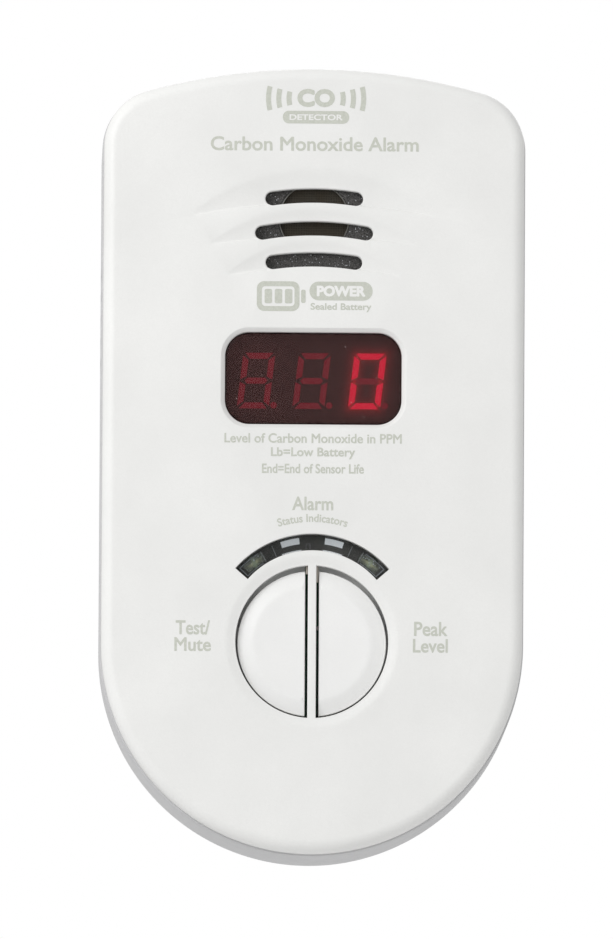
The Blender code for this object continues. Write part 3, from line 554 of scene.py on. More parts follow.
def clear_epoxy():
    """Water-clear epoxy over a lead frame: cloudy greenish grey, with a soft cross of streaks that is partly
    the lead frame and partly painted reflection, small painted highlights and a painted glow.
    """
    f = Finish("clear_epoxy", ior=1.52, specular_ior_level=0.8)
    x, _, z = f.axes(f.place)
    x, z = f.minus(f.size(x), 10.4 * MM), f.plus(z, 18.6 * MM)  # from the middle of the nearer lamp
    ripple = f.times(f.minus(f.noise(0.5 * MM, 3), 0.5), 0.7 * MM)
    swirl = f.noise(0.55 * MM, 4, 0.7)
    base = f.mix(f.remap(swirl, 0.35, 0.65), (0.030, 0.036, 0.028), (0.19, 0.215, 0.18))
    squares = f.plus(f.times(x, x), f.times(z, z))
    middle = f.math("EXPONENT", f.times(squares, -1 / (1.1 * MM) ** 2))
    # A soft cross of lighter streaks about each lamp's middle: partly the lead frame, partly painted
    # reflection.
    for (a, b), colour, wide in (
        ((0.55, 0.83), (0.56, 0.60, 0.36), 0.34),
        ((0.83, -0.55), (0.34, 0.42, 0.30), 0.42),
    ):
        off = f.plus(f.plus(f.times(x, a), f.times(z, b)), ripple)
        base = f.mix(f.times(f.bell(off, wide * MM), middle), base, colour)
    # Small painted highlights: bluish white specks in a band across each dome.
    spark_size = 0.36 * MM
    chosen = f.remap(f.cell_value(spark_size), 0.5, 0.66)
    spark = f.times(f.remap(f.cells(spark_size), 0.12, 0.42, 1.0, 0.0), chosen)
    band = f.size(f.minus(f.minus(f.times(x, 0.75), f.times(z, -0.66)), 0.45 * MM))
    spark = f.times(spark, f.remap(band, 0.15 * MM, 0.75 * MM, 1.0, 0.12))
    base = f.mix(spark, base, (0.80, 0.90, 1.0))
    f.set("Base Color", base)
    # A painted glow in the epoxy's own colours.
    f.glow(base, f.remap(swirl, 0.3, 0.7, 0.18, 0.34))
    f.set("Roughness", f.remap(swirl, 0.3, 0.7, 0.06, 0.22))
    f.set("Normal", f.bump(swirl, 3e-5))
    return f.material


def printed(name):
    """Pad-printed ink: a little uneven, with pinholes."""
    f = Finish(name, specular_ior_level=0.3)
    uneven = f.noise(0.5 * MM, 3)
    pin = f.remap(f.noise(0.16 * MM, 2), 0.60, 0.70)
    ink = f.mix(f.remap(uneven, 0.3, 0.7), (0.50, 0.515, 0.455), (0.57, 0.585, 0.525))
    f.set("Base Color", f.mix(f.times(pin, 0.55), ink, (0.76, 0.76, 0.74)))
    f.set("Roughness", f.remap(uneven, 0.3, 0.7, 0.5, 0.62))
    f.set("Normal", f.bump(uneven, 3e-6))
    return f.material


def label_foil():
    f = Finish("label_foil")
    weave = f.noise(0.5 * MM, 3, 0.6, f.stretched(1, 1, 6))
    worn = f.noise(4 * MM, 4)
    f.set("Base Color", f.mix(f.remap(worn, 0.35, 0.7), (0.60, 0.61, 0.62), (0.70, 0.70, 0.70)))
    f.set("Metallic", f.remap(worn, 0.3, 0.7, 0.25, 0.4))
    f.set("Roughness", f.remap(weave, 0.3, 0.7, 0.38, 0.55))
    f.set("Normal", f.bump(weave, 4e-6))
    return f.material


white = moulded("white_abs", (0.80, 0.80, 0.785), 0.43)
button_white = moulded("button_abs", (0.83, 0.83, 0.82), 0.40, relief=4e-6)
# Darker than the cover: partly the rear housing's own greyer plastic, partly painted shade for the shade it
# lies in behind the cover.
housing_grey_shaded = moulded("housing_abs", (0.54, 0.54, 0.545), 0.47)
bracket_white = moulded("bracket_abs", (0.66, 0.66, 0.65), 0.5)
black = moulded("black_plastic", (0.022, 0.020, 0.018), 0.5, blotch=0.1)
warm_black = moulded("sounder_plastic", (0.030, 0.024, 0.018), 0.45, blotch=0.1)
tray_dark = moulded("tray_plastic", (0.135, 0.135, 0.127), 0.35, blotch=0.15)
steel = metal("plated_steel", (0.60, 0.60, 0.62))
brass = metal("brass_sheet", (0.62, 0.47, 0.20), 0.35)
nickel = metal("nickel_strip", (0.70, 0.68, 0.62), 0.28)
tin = metal("drawn_can", (0.72, 0.72, 0.74), 0.33, (1, 12, 1))
dark_foam = foam()
ink = printed("pale_ink")


# Front cover

SLOTS = ((47.85, 17.7), (41.9, 21.4), (36.25, 17.5))
SCOOPS = (
    # upper apex z and radius, lower apex z and radius, half width, depth
    (52.5, 34.6, 46.5, 110, 21.8, 0.85),
    (45.5, 30.7, 40.5, 120, 18.8, 0.75),
    (39.6, 23.3, 35.0, 79, 15.65, 0.75),
)
LEDGE = 0.42  # how far below a scoop its lower edge comes back to the face, in mm
EASE = 0.14  # how much of a scoop its upper corner is rounded over


def arch(apex, radius, x):
    return apex - radius + sqrt(radius * radius - x * x)


def scoop_sink(x, z):
    """How deep the louvres' scoops are at a point, in mm."""
    deep = 0.0
    for top, top_r, low, low_r, half, depth in SCOOPS:
        if abs(x) >= half:
            continue
        upper, lower = arch(top, top_r, x), arch(low, low_r, x)
        t = (upper - z) / max(upper - lower, 0.25)
        share = depth * (1 - (x / half) ** 2) ** 0.9
        if z >= lower:
            t = min(eased(t, EASE), 1.0)
            deep = max(deep, share * (1 - (1 - t) ** 2))
        else:
            deep = max(deep, share * (1 - smooth((lower - z) / LEDGE)))
    return deep


def countersink_sink(x, z):
    r = hypot(x, z + 33)
    t = (15.5 - r) / 1.7
    return 0.45 * min(eased(t, 0.22), 1.0)


def face_sink(x, z):
    x, z = x / MM, z / MM
    return (scoop_sink(x, z) + countersink_sink(x, z)) * MM


def cover_points():
    rows = []
    for top, top_r, low, low_r, half, _ in SCOOPS:
        count = int(2 * half / 0.32)
        xs = [-half + 2 * half * i / count for i in range(count + 1)]
        for step in (-0.03, 0.08, 0.16, 0.25, 0.34, 0.43):
            rows += [(x, arch(low, low_r, x) - step) for x in xs]
        for t in (0.0, 0.07, -0.07, 0.14, -0.14, 0.2, 0.28, 0.36, 0.45, 0.55, 0.65, 0.75, 0.85, 0.94):
            for x in xs:
                upper, lower = arch(top, top_r, x), arch(low, low_r, x)
                rows.append((x, upper - t * max(upper - lower, 0.25)))
    points = [(x * MM, z * MM) for x, z in rows]
    for r in (15.95, 15.7, 15.5, 15.3, 15.05, 14.7, 14.3):
        points += circle((0, BUTTON_Z), r * MM, 150)
    return points


def front_cover():
    s = Solid()
    edge = 2.2 * MM
    outer = [(-edge - 0.15 * MM, FACE), *fillet(edge, FACE, steps=14)]
    skirt = [(0, 29.12), (-0.03, 29.05), (-0.1, 29.02), (-1.9, 29.02), (-1.9, 26.6), (-3.0, 26.6)]
    outer += [*in_mm(*skirt), (-3.0 * MM, INNER)]
    front, back = s.wall(case_outline, outer)
    fronts, backs, guards = [], [], []

    def opening(outline, profile):
        loop = without_repeats(outline(profile[0][0]))
        sink = [face_sink(x, z) for x, z in loop]
        a, b = s.wall(outline, profile, sink)
        fronts.append(a)
        backs.append(b)
        guards.append(loop)

    def soft(radius, guard=0.12 * MM):
        return [(radius + guard, FACE), *((-g, d) for g, d in fillet(radius, FACE, steps=5)), (0, INNER)]

    for z, length in SLOTS:
        opening(lambda g, z=z, w=length: slot(z * MM, w * MM, 2.6 * MM, 52 * MM, g), soft(0.28 * MM))
    for side in (-1, 1):
        hole = (side, 0.75 * MM, (13.8 * MM, 13.8 * MM), BUTTON_Z)
        opening(lambda g, hole=hole: half_disc(*hole, g), soft(0.16 * MM))
    opening(lambda g: sector(15.4 * MM, 18.4 * MM, 49, g), soft(0.10 * MM))
    bevel = [(0.95, 0), (0.84, 0), (0.76, 0.02), (0.69, 0.07), (0.1, 0.62), (0.03, 0.7), (0, 0.82)]
    opening(
        lambda g: rounded((0, DISPLAY_Z), (31.9 * MM, 16.7 * MM), 4.4 * MM, g, 18),
        [(g * MM, FACE - d * MM) for g, d in bevel] + [(0, INNER)],
    )
    points = apart(cover_points(), 0.075 * MM, guards, 0.11 * MM)
    s.cap(front, fronts, points, FACE, face_sink)
    s.cap(back, backs)
    return s.piece("front_cover_shell", "alarm", white, ["front_cover"], "white_abs")


front_cover()


# Buttons


def button(side, name, body, node):
    s = Solid()
    centre = BUTTON_Z - 0.3 * MM
    radii = (13.4 * MM, 13.15 * MM)

    def outline(g):
        return half_disc(side, BUTTON_EDGE, radii, centre, g)

    def sink(x, z):
        rho = 13.4 * MM * hypot(x / radii[0], (z - centre) / radii[1])
        t = (rho - 10.6 * MM) / (2.8 * MM)
        dish = 0.10 * MM * (1 - min(rho / (10.6 * MM), 1) ** 2)
        return 0.8 * MM * eased(t, 0.16) + dish

    top = 35 * MM
    rim = 0.2 * MM
    profile = [(-rim - 0.1 * MM, top), *fillet(rim, top, steps=5), (0, 31.6 * MM)]
    loop = without_repeats(outline(profile[0][0]))
    front, back = s.wall(outline, profile, [sink(x, z) for x, z in loop])
    collar = s.ring(without_repeats(outline(0)), 31.2 * MM)
    wide = without_repeats(half_disc(side, BUTTON_EDGE, (14.9 * MM, 14.9 * MM), BUTTON_Z))
    flange, under = s.ring(wide, 31.2 * MM), s.ring(wide, 30.4 * MM)
    s.strip(back, collar, flange, under)
    post = circle((side * 6.5 * MM, centre), 2.5 * MM, 40)
    root, tip = s.ring(post, 30.4 * MM), s.ring(post, 29.9 * MM)
    s.strip(root, tip)
    s.cap(under, [root])
    s.cap(tip)
    points = []
    for r in (12.9, 12.3, 11.7, 11.3, 11.05, 10.82, 10.6, 10.38, 10.15, 9.7, 8.5, 7, 5.5, 4, 2.6):
        ring = half_disc(side, BUTTON_EDGE, (r * MM, r * radii[1] / 13.4), centre, 0, 90)
        points += [p for p in ring if abs(p[0]) > 1.3 * MM]
    for x in (1.6, 2.4):
        points += [(side * x * MM, centre + z * 0.6 * MM) for z in range(-20, 21)]
    s.cap(front, [], apart(points, 0.14 * MM, [loop], 0.1 * MM), top, sink)
    s.piece(name, body, button_white, [node], "white_abs")


def bar_gap_reflections():
    """Grey-brown blocks in the top of the gaps beside the centre bar: a painted reflection of the shaded
    recess wall seen down the gaps there.
    """
    shaded = moulded("gap_reflection_plastic", (0.36, 0.33, 0.29), 0.5)
    for side, low in ((-1, -20.7), (1, -22.2)):
        s = Solid()
        middle = (side * 0.95 * MM, (low - 19.25) / 2 * MM)
        size = (0.4 * MM, (-19.25 - low) * MM)
        profile = in_mm((-0.04, 34.3), (0, 34.24), (0, 33.9))
        for end in s.wall(lambda g, at=middle, size=size: rounded(at, size, 0.1 * MM, g, 4), profile):
            s.cap(end)
        word = "left" if side < 0 else "right"
        s.piece(f"bar_root_{word}", "alarm", shaded, slot_name="white_abs")


bar_gap_reflections()
button(-1, "test_button_cap", "test_key", "test_button")
button(1, "peak_button_cap", "peak_key", "peak_button")


# Display


def display():
    s = Solid()

    def window(g):
        return rounded((0, DISPLAY_Z), (31.3 * MM, 16.1 * MM), 4.1 * MM, g, 14)

    top = 35.1 * MM
    profile = [(-0.4 * MM, top), *fillet(0.25 * MM, top, steps=6), (0, 33.5 * MM)]
    front, back = s.wall(window, profile)
    wide = without_repeats(rounded((0, DISPLAY_Z), (36.3 * MM, 21.1 * MM), 4.4 * MM, 0, 14))
    ledge, end = s.ring(wide, 33.5 * MM), s.ring(wide, 32.5 * MM)
    s.strip(back, ledge, end)
    s.cap(front)
    s.cap(end)
    filter_red = clear_tint("red_filter", (0.050, 0.019, 0.018), 0.42)
    s.piece("display_filter", "alarm", filter_red, ["display_window"], "red_filter")

    film = without_repeats(rounded((0, DISPLAY_Z), (34.4 * MM, 19.2 * MM), 3 * MM))
    tile("display_film", film, display_face(), 32.25 * MM, 32.15 * MM, "black_plastic")

    # The unlit segments glow faintly as well: painted light, for the red they show behind the filter.
    unlit_painted_glow = diffuser("unlit_segment", (0.16, 0.008, 0.018), (1.0, 0.015, 0.075), 0.25)
    lit = diffuser("lit_segment", (0.4, 0.01, 0.03), (1.0, 0.004, 0.05), 1.28)
    high, wide, bar = 10.1 * MM, 5.8 * MM, 1.08 * MM
    gap = 0.24 * MM
    half_h, half_w = high / 2 - bar / 2, wide / 2 - bar / 2
    corners = {
        "a": ((-half_w, half_h), (half_w, half_h)),
        "b": ((half_w, half_h), (half_w, 0)),
        "c": ((half_w, 0), (half_w, -half_h)),
        "d": ((-half_w, -half_h), (half_w, -half_h)),
        "e": ((-half_w, 0), (-half_w, -half_h)),
        "f": ((-half_w, half_h), (-half_w, 0)),
        "g": ((-half_w, 0), (half_w, 0)),
    }
    for i, centre_x in enumerate(DIGIT_X):
        for key, (p, q) in corners.items():
            outline = segment(key, Vector(p), Vector(q), bar, gap)
            loop = [(centre_x + x + SLANT * z, DIGIT_Z + z) for x, z in outline]
            tile(f"digit_{i + 1}_{key}", loop, lit if i == 2 and key != "g" else unlit_painted_glow)
        dot = (centre_x + 3.35 * MM - SLANT * 4.4 * MM + 0.35 * MM, DIGIT_Z - 4.45 * MM)
        tile(f"digit_{i + 1}_dot", circle(dot, 0.58 * MM, 28), unlit_painted_glow)


# How far each bar's outer corners reach past its cut ends, at its start and its end
OVERHANG = dict(a=(0.72, 0.72), b=(0.55, 0), c=(0, 0.55), d=(0.72, 0.72), e=(0, 0.55), f=(0.55, 0))


def segment(key, p, q, bar, gap):
    """A bar of a digit, its ends cut to meet its neighbours on the diagonal."""
    along = (q - p).normalized()
    p, q = p + along * gap, q - along * gap
    inset = along * bar / 2
    across = Vector((-inset.y, inset.x))
    if key == "g":
        right = [q + across - inset, q - inset * 0.1, q - across - inset]
        return [p + inset * 0.1, p + across + inset, *right, p - across + inset]
    out = across if key in "abc" else -across
    start, end = OVERHANG[key]
    return [p + out - inset * start, q + out + inset * end, q - out - inset, p - out + inset]


display()


# Status lens and what shows through it


def status_lens():
    s = Solid()

    def lens(g):
        return sector(15.65 * MM, 18.15 * MM, 48.2, g)

    def sink(x, z):
        """The face is crowned by 0.12 mm."""
        return 0.12 * MM * ((hypot(x, z - LENS_Z) - LENS_RADIUS) / (1.25 * MM)) ** 2

    top = 35.7 * MM
    profile = [(-0.22 * MM, top), *fillet(0.14 * MM, top, steps=4), (0, 33.5 * MM)]
    loop = without_repeats(lens(profile[0][0]))
    front, back = s.wall(lens, profile, [sink(x, z) for x, z in loop])
    end = s.ring(without_repeats(lens(0)), 33.0 * MM)
    s.strip(back, end)
    points = []
    for r in (15.95, 16.25, 16.55, 16.9, 17.25, 17.55, 17.85):
        points += arc((0, LENS_Z), r * MM, radians(43), radians(137), 80)
    s.cap(front, [], apart(points, 0.15 * MM, [loop], 0.1 * MM), top, sink)
    s.cap(end)
    smoke = clear_tint("smoke_lens", (0.016, 0.017, 0.016), 0.2, 0.05, 0.4)
    s.piece("status_lens_bar", "alarm", smoke, ["status_lens"], "smoke_lens")


def lamp_tray():
    s = Solid()
    front, back = s.wall(
        lambda g: sector(14.9 * MM, 18.9 * MM, 48.9, g),
        in_mm((-0.2, 32.2), (-0.1, 32.17), (0, 32), (0, 25.2)),
    )
    fronts, backs = [], []
    for at in LAMPS:
        a, b = s.wall(
            lambda g, at=at: circle(at, 1.55 * MM + g, 40),
            in_mm((0.12, 32.2), (0.05, 32.15), (0.0, 32), (0, 25.2)),
        )
        fronts.append(a)
        backs.append(b)
    s.cap(front, fronts)
    s.cap(back, backs)
    s.piece("lamp_tray", "alarm", tray_dark, ["led_baffle"], "black_plastic")


def lamp_domes(epoxy):
    radius, foot, steps = 1.48 * MM, 29.6 * MM, 36
    for side, at in zip(("left", "right"), LAMPS):
        s = Solid()
        low = s.ring(circle(at, radius, steps), 25.2 * MM)
        turns = [UP * k / 9 for k in range(9)]
        rings = [s.ring(circle(at, radius * cos(a), steps), foot + radius * sin(a)) for a in turns]
        s.strip(low, *rings)
        s.cap(low)
        tip = len(s.points)
        s.points.append((at[0], -foot - radius, at[1]))
        s.faces += [(rings[-1][i - 1], rings[-1][i], tip) for i in range(steps)]
        s.piece(f"lamp_dome_{side}", "alarm", epoxy, [f"status_led_{side}"], "led_epoxy")


def lens_trim(epoxy):
    """The light pipes, ribs and rims just behind the lens. Angles are from the vertical, to each side."""
    # The light pipes, ribs and rims are each given a glow: painted light, brighter than the light reaching
    # them behind the smoked lens.
    pale = moulded("light_pipe", (0.88, 0.88, 0.86), 0.3, blotch=0.05, glow=0.46)
    edge = moulded("moulded_rib", (0.30, 0.31, 0.31), 0.3, blotch=0.05, glow=0.06)
    rim = moulded("moulded_rim", (0.36, 0.38, 0.41), 0.3, blotch=0.1, glow=0.10)
    for side, word in ((-1, "left"), (1, "right")):

        def strip_piece(name, radii, ends, finish, depths=(32.5, 32.1), slot_name="smoke_lens"):
            start, end = sorted(side * angle for angle in ends)
            loop = sector(radii[0] * MM, radii[1] * MM, end, start=start, steps=12)
            tile(name, without_repeats(loop), finish, *(depth * MM for depth in depths), slot_name)

        strip_piece(f"light_pipe_{word}", (16.95, 18.05), (7.6, 18.6), pale)
        strip_piece(f"lens_line_{word}", (15.72, 15.86), (7.0, 20.0), pale)
        for k, angle in enumerate((23.6, 31.0)):
            strip_piece(f"lens_rib_{word}_{k}", (15.9, 18.0), (angle, angle + 0.55), edge)
        # A flat strip of the glowing epoxy finish round each lamp: a painted pool of light.
        strip_piece(f"lamp_pool_{word}", (16.15, 17.75), (30.5, 44.5), epoxy, (32.3, 32.22), "led_epoxy")
        strip_piece(f"lens_rim_top_{word}", (17.84, 17.98), (33, 46.8), rim)
        strip_piece(f"lens_rim_end_{word}", (16.0, 17.84), (46.2, 46.8), rim)
        strip_piece(f"lens_rim_low_{word}", (15.86, 16.0), (33, 46.8), rim)
    gate_mark(edge)


def gate_mark(finish):
    """A fine moulding line, bent round a gate, in the lower half of the lens near its middle."""
    left, middle = [(-1.1, -15.95), (-1.1, -15.3), (-0.95, -15.08)], (-0.73, -15.0)
    bend = [*left, middle, (-0.5, -15.08), (-0.36, -15.3), (-0.36, -15.95)]
    curve = bpy.data.curves.new("gate_mark", "CURVE")
    curve.dimensions = "3D"
    curve.bevel_depth = 0.06 * MM
    curve.bevel_resolution = 2
    curve.use_fill_caps = True
    line = curve.splines.new("POLY")
    line.points.add(len(bend) - 1)
    for point, (x, z) in zip(line.points, bend):
        point.co = (x * MM, -32.3 * MM, z * MM, 1)
    settle(bpy.data.objects.new("gate_mark", curve), "alarm", finish)


status_lens()
lamp_tray()
domes = clear_epoxy()
lamp_domes(domes)
lens_trim(domes)


# Behind the grille


def sounder():
    s = Solid()
    outer = in_mm((-0.3, 33.4), (-0.1, 33.35), (0, 33.1), (0, 31.9))
    front, back = s.wall(lambda g: circle(SOUNDER, 16 * MM + g, 96), outer)
    inner = in_mm((0.35, 33.4), (0.1, 33.34), (0, 33.1), (0, 31.9))
    hole_front, hole_back = s.wall(lambda g: circle(SOUNDER, 6.42 * MM + g, 96), inner)

    def rough(x, z):
        waves = sin(x * 5200 + 2 * sin(z * 3900)) + sin(z * 6100 + 2 * sin(x * 4700))
        return 0.05 * MM * waves

    points = []
    for i in range(14):
        points += circle(SOUNDER, (7.2 + 0.62 * i) * MM, 60 + 5 * i)
    s.cap(front, [hole_front], apart(points, 0.3 * MM), 33.3 * MM, rough)
    s.cap(back, [hole_back])
    s.piece("gasket_foam", "alarm", dark_foam, ["sounder_gasket"], "black_foam")

    rim = moulded("port_rim", (0.17, 0.165, 0.15), 0.35, blotch=0.1)
    s = Solid()
    outer = in_mm((-0.12, 33.48), (0, 33.44), (0, 31.95))
    a, b = s.wall(lambda g: circle(SOUNDER, 6.38 * MM + g, 96), outer)
    inner = in_mm((0, 33.48), (-0.02, 33.4), (0, 31.95))
    c, d = s.wall(lambda g: circle(SOUNDER, 6.22 * MM + g, 96), inner)
    s.strip(a, c)
    s.strip(b, d)
    s.piece("port_lining", "alarm", rim, slot_name="black_plastic")
    cloth = without_repeats(circle(SOUNDER, 6.19 * MM, 72))
    tile("port_cloth", cloth, acoustic_cloth(), 32.6 * MM, 32.4 * MM, "black_foam")


sounder()


# Rear housing

CASE_SCREWS = [(side * x, z) for side in (-1, 1) for x, z in ((30 * MM, 50 * MM), (29 * MM, -40 * MM))]
RECESS = (-29 * MM, 29 * MM, -34 * MM, 42 * MM)
HOOKS = [(side * 19 * MM, z) for side in (-1, 1) for z in (26 * MM, -12 * MM)]


def rear_housing():
    s = Solid()
    back = 1.2 * MM
    proud = 0.3 * MM
    edge = 1.2 * MM
    # The back's depths run the other way, so its rounded edges are mirrored from the front's.
    outer = [(proud - edge - 0.15 * MM, back)]
    outer += [(proud + g, 2 * back - d) for g, d in fillet(edge, back, steps=8)]
    outer += [(proud, 28.88 * MM), (proud - 0.03 * MM, 28.95 * MM), (proud - 0.1 * MM, 28.98 * MM)]
    outer += in_mm((-1.7, 28.98), (-2.0, 28.9), (-2.0, 3.2))
    front, inner = s.wall(case_outline, outer)
    backs, inners = [], []

    def soft(radius, guard=0.12 * MM):
        return [(radius + guard, back)] + [(-g, 2 * back - d) for g, d in fillet(radius, back, steps=4)]

    for at in CASE_SCREWS:
        post = [(0, 19), (-1.4, 19), (-1.4, 21.5), (0.65, 21.5), (0.65, 3.2)]
        profile = soft(0.35 * MM) + in_mm(*post)
        a, b = s.wall(lambda g, at=at: circle(at, 3.1 * MM + g, 40), profile)
        backs.append(a)
        inners.append(b)

    def recess(g):
        return rectangle(RECESS[:2], RECESS[2:], 3 * MM, g, 10)

    a, floor = s.wall(recess, [*soft(0.4 * MM), (0, 4.6 * MM), (-0.12 * MM, 4.88 * MM), (-0.4 * MM, 5 * MM)])
    backs.append(a)
    under, b = s.wall(recess, in_mm((1.6, 7.2), (2, 6.8), (2, 3.2)))
    inners.append(b)
    holes = [((x - 4.6 * MM, x + 4.6 * MM), (top - 9.2 * MM, top + 0.3 * MM)) for x, top in HOOKS]
    holes.append(((13.7 * MM, 16.3 * MM), (-3.8 * MM, 3.8 * MM)))
    floors, unders = [], []
    for xs, zs in holes:
        profile = in_mm((0.3, 5), (0.18, 5), (0.05, 5.06), (0, 5.2), (0, 7.2))
        a, b = s.wall(lambda g, xs=xs, zs=zs: rectangle(xs, zs, 0.5 * MM, g, 4), profile)
        floors.append(a)
        unders.append(b)
    s.cap(front, backs)
    s.cap(inner, inners)
    s.cap(floor, floors)
    s.cap(under, unders)
    shell = s.piece("rear_housing_shell", "alarm", housing_grey_shaded, ["rear_housing"], "white_abs")
    cut_vents(shell)


def cut_vents(shell):
    """Five slots through each side wall, cut with a boolean."""
    vents = Solid()
    for side in (-1, 1):
        for k in range(5):
            z = (18 + 4 * k + 0.8) * MM
            loop = without_repeats(rounded((-15.5 * MM, z), (13 * MM, 1.6 * MM), 0.79 * MM, 0, 8))
            rings = []
            for x in (34 * MM, 40 * MM):
                first = len(vents.points)
                vents.points += [(side * x, y, z) for y, z in loop]
                rings.append(list(range(first, len(vents.points))))
            vents.strip(*rings)
            vents.faces += [tuple(ring) for ring in rings]
    cutter = bpy.data.objects.new("vent_cutter", vents.mesh("vent_cutter"))
    bpy.context.scene.collection.objects.link(cutter)
    cut = shell.modifiers.new("vents", "BOOLEAN")
    cut.operation = "DIFFERENCE"
    cut.solver = "EXACT"
    cut.object = cutter
    uncut = shell.data
    shell.data = bpy.data.meshes.new_from_object(shell.evaluated_get(bpy.context.evaluated_depsgraph_get()))
    shell.modifiers.clear()
    bpy.data.meshes.remove(uncut)
    bpy.data.objects.remove(cutter)
    shade(shell.data)


rear_housing()


# CAD pieces that stay, with their finishes and, where they show, softened edges

FINISHES = {
    "main_board": circuit_board(),
    "piezo_disc": brass,
    "piezo_ceramic": moulded("silvered_ceramic", (0.72, 0.71, 0.68), 0.35, blotch=0.06),
    "battery_cell": moulded("battery_sleeve", (0.08, 0.15, 0.36), 0.3, blotch=0.08),
    "battery_wire_red": moulded("red_insulation", (0.5, 0.03, 0.03), 0.4, blotch=0.1),
    "rating_label": label_foil(),
}
for finish, names in (
    (bracket_white, "wall_bracket co_sensor_cap battery_header"),
    (black, "power_slider switch_knob display_module microcontroller horn_coil battery_holder"),
    (black, "battery_wire_black test_switch_plunger peak_switch_plunger"),
    (warm_black, "sounder_housing sounder_ring"),
    (tin, "capacitor_1 capacitor_2 co_sensor"),
):
    FINISHES.update((name, finish) for name in names.split())
for name, node in frame["nodes"].items():
    if node.hide_render:
        continue
    finish = FINISHES.get(name)
    if finish is None:
        finish = nickel if name.startswith(("horn_contact", "battery_tab")) else steel
    node.data.materials.clear()
    node.data.materials.append(finish)
    if name.startswith(("wall_bracket", "power_slider", "case_screw", "rating_label")):
        weld = node.modifiers.new("weld", "WELD")
        weld.merge_threshold = 1e-6
        soften = node.modifiers.new("soften", "BEVEL")
        soften.width = (0.12 if name != "wall_bracket" else 0.25) * MM
        soften.segments = 2
        soften.angle_limit = radians(40)
        soften.harden_normals = True


# Printed marks, generic ones in the places of the real ones


def near(points, loops, reach):
    """Which of the points lie within a reach of the loops' edges."""
    hit = np.zeros(len(points), bool)
    for loop in loops:
        for p, q in zip(loop, loop[1:] + loop[:1]):
            p, q = np.array(p), np.array(q)
            along = q - p
            length = along @ along
            if length == 0:
                continue
            t = np.clip((points - p) @ along / length, 0, 1)
            hit |= np.linalg.norm(points - p - t[:, None] * along, axis=1) < reach
    return hit


def around(p, q, reach, steps=6):
    """A stadium's outline about a line."""
    a = atan2(q[1] - p[1], q[0] - p[0])
    return arc(q, reach, a - UP, a + UP, steps) + arc(p, reach, a + UP, a + 3 * UP, steps)


def letters(words, centre, size, weight, bend=0.0):
    """The loops of some words, fitted to a width and a height, and how far the strokes are to grow.

    With bend, they're laid along an arc of about that radius over the lens.
    """
    curve = bpy.data.curves.new("words", "FONT")
    curve.body = words
    curve.fill_mode = "NONE"
    curve.resolution_u = 4
    helper = bpy.data.objects.new("words", curve)
    bpy.context.scene.collection.objects.link(helper)
    graph = bpy.context.evaluated_depsgraph_get()
    mesh = bpy.data.meshes.new_from_object(helper.evaluated_get(graph))
    bpy.data.objects.remove(helper)
    joined = {}
    for edge in mesh.edges:
        a, b = edge.vertices
        joined.setdefault(a, []).append(b)
        joined.setdefault(b, []).append(a)
    loops, seen = [], set()
    for start in joined:
        loop, at = [], start
        while at is not None and at not in seen:
            seen.add(at)
            loop.append(tuple(mesh.vertices[at].co[:2]))
            at = next((n for n in joined[at] if n not in seen), None)
        if len(loop) > 2:
            loops.append(loop)
    xs = [x for loop in loops for x, _ in loop]
    zs = [z for loop in loops for _, z in loop]
    grow = weight * size[1]
    fit_x = (size[0] - 2 * grow) / (max(xs) - min(xs))
    fit_z = (size[1] - 2 * grow) / (max(zs) - min(zs))
    mid_x, mid_z = (max(xs) + min(xs)) / 2, (max(zs) + min(zs)) / 2
    placed = []
    for loop in loops:
        path = [(centre[0] + (x - mid_x) * fit_x, centre[1] + (z - mid_z) * fit_z) for x, z in loop]
        if bend:
            path = [
                (bend_r * sin(x / bend), LENS_Z + bend_r * cos(x / bend))
                for x, bend_r in ((x, z - LENS_Z) for x, z in path)
            ]
        placed.append(without_repeats(path))
    return placed, grow


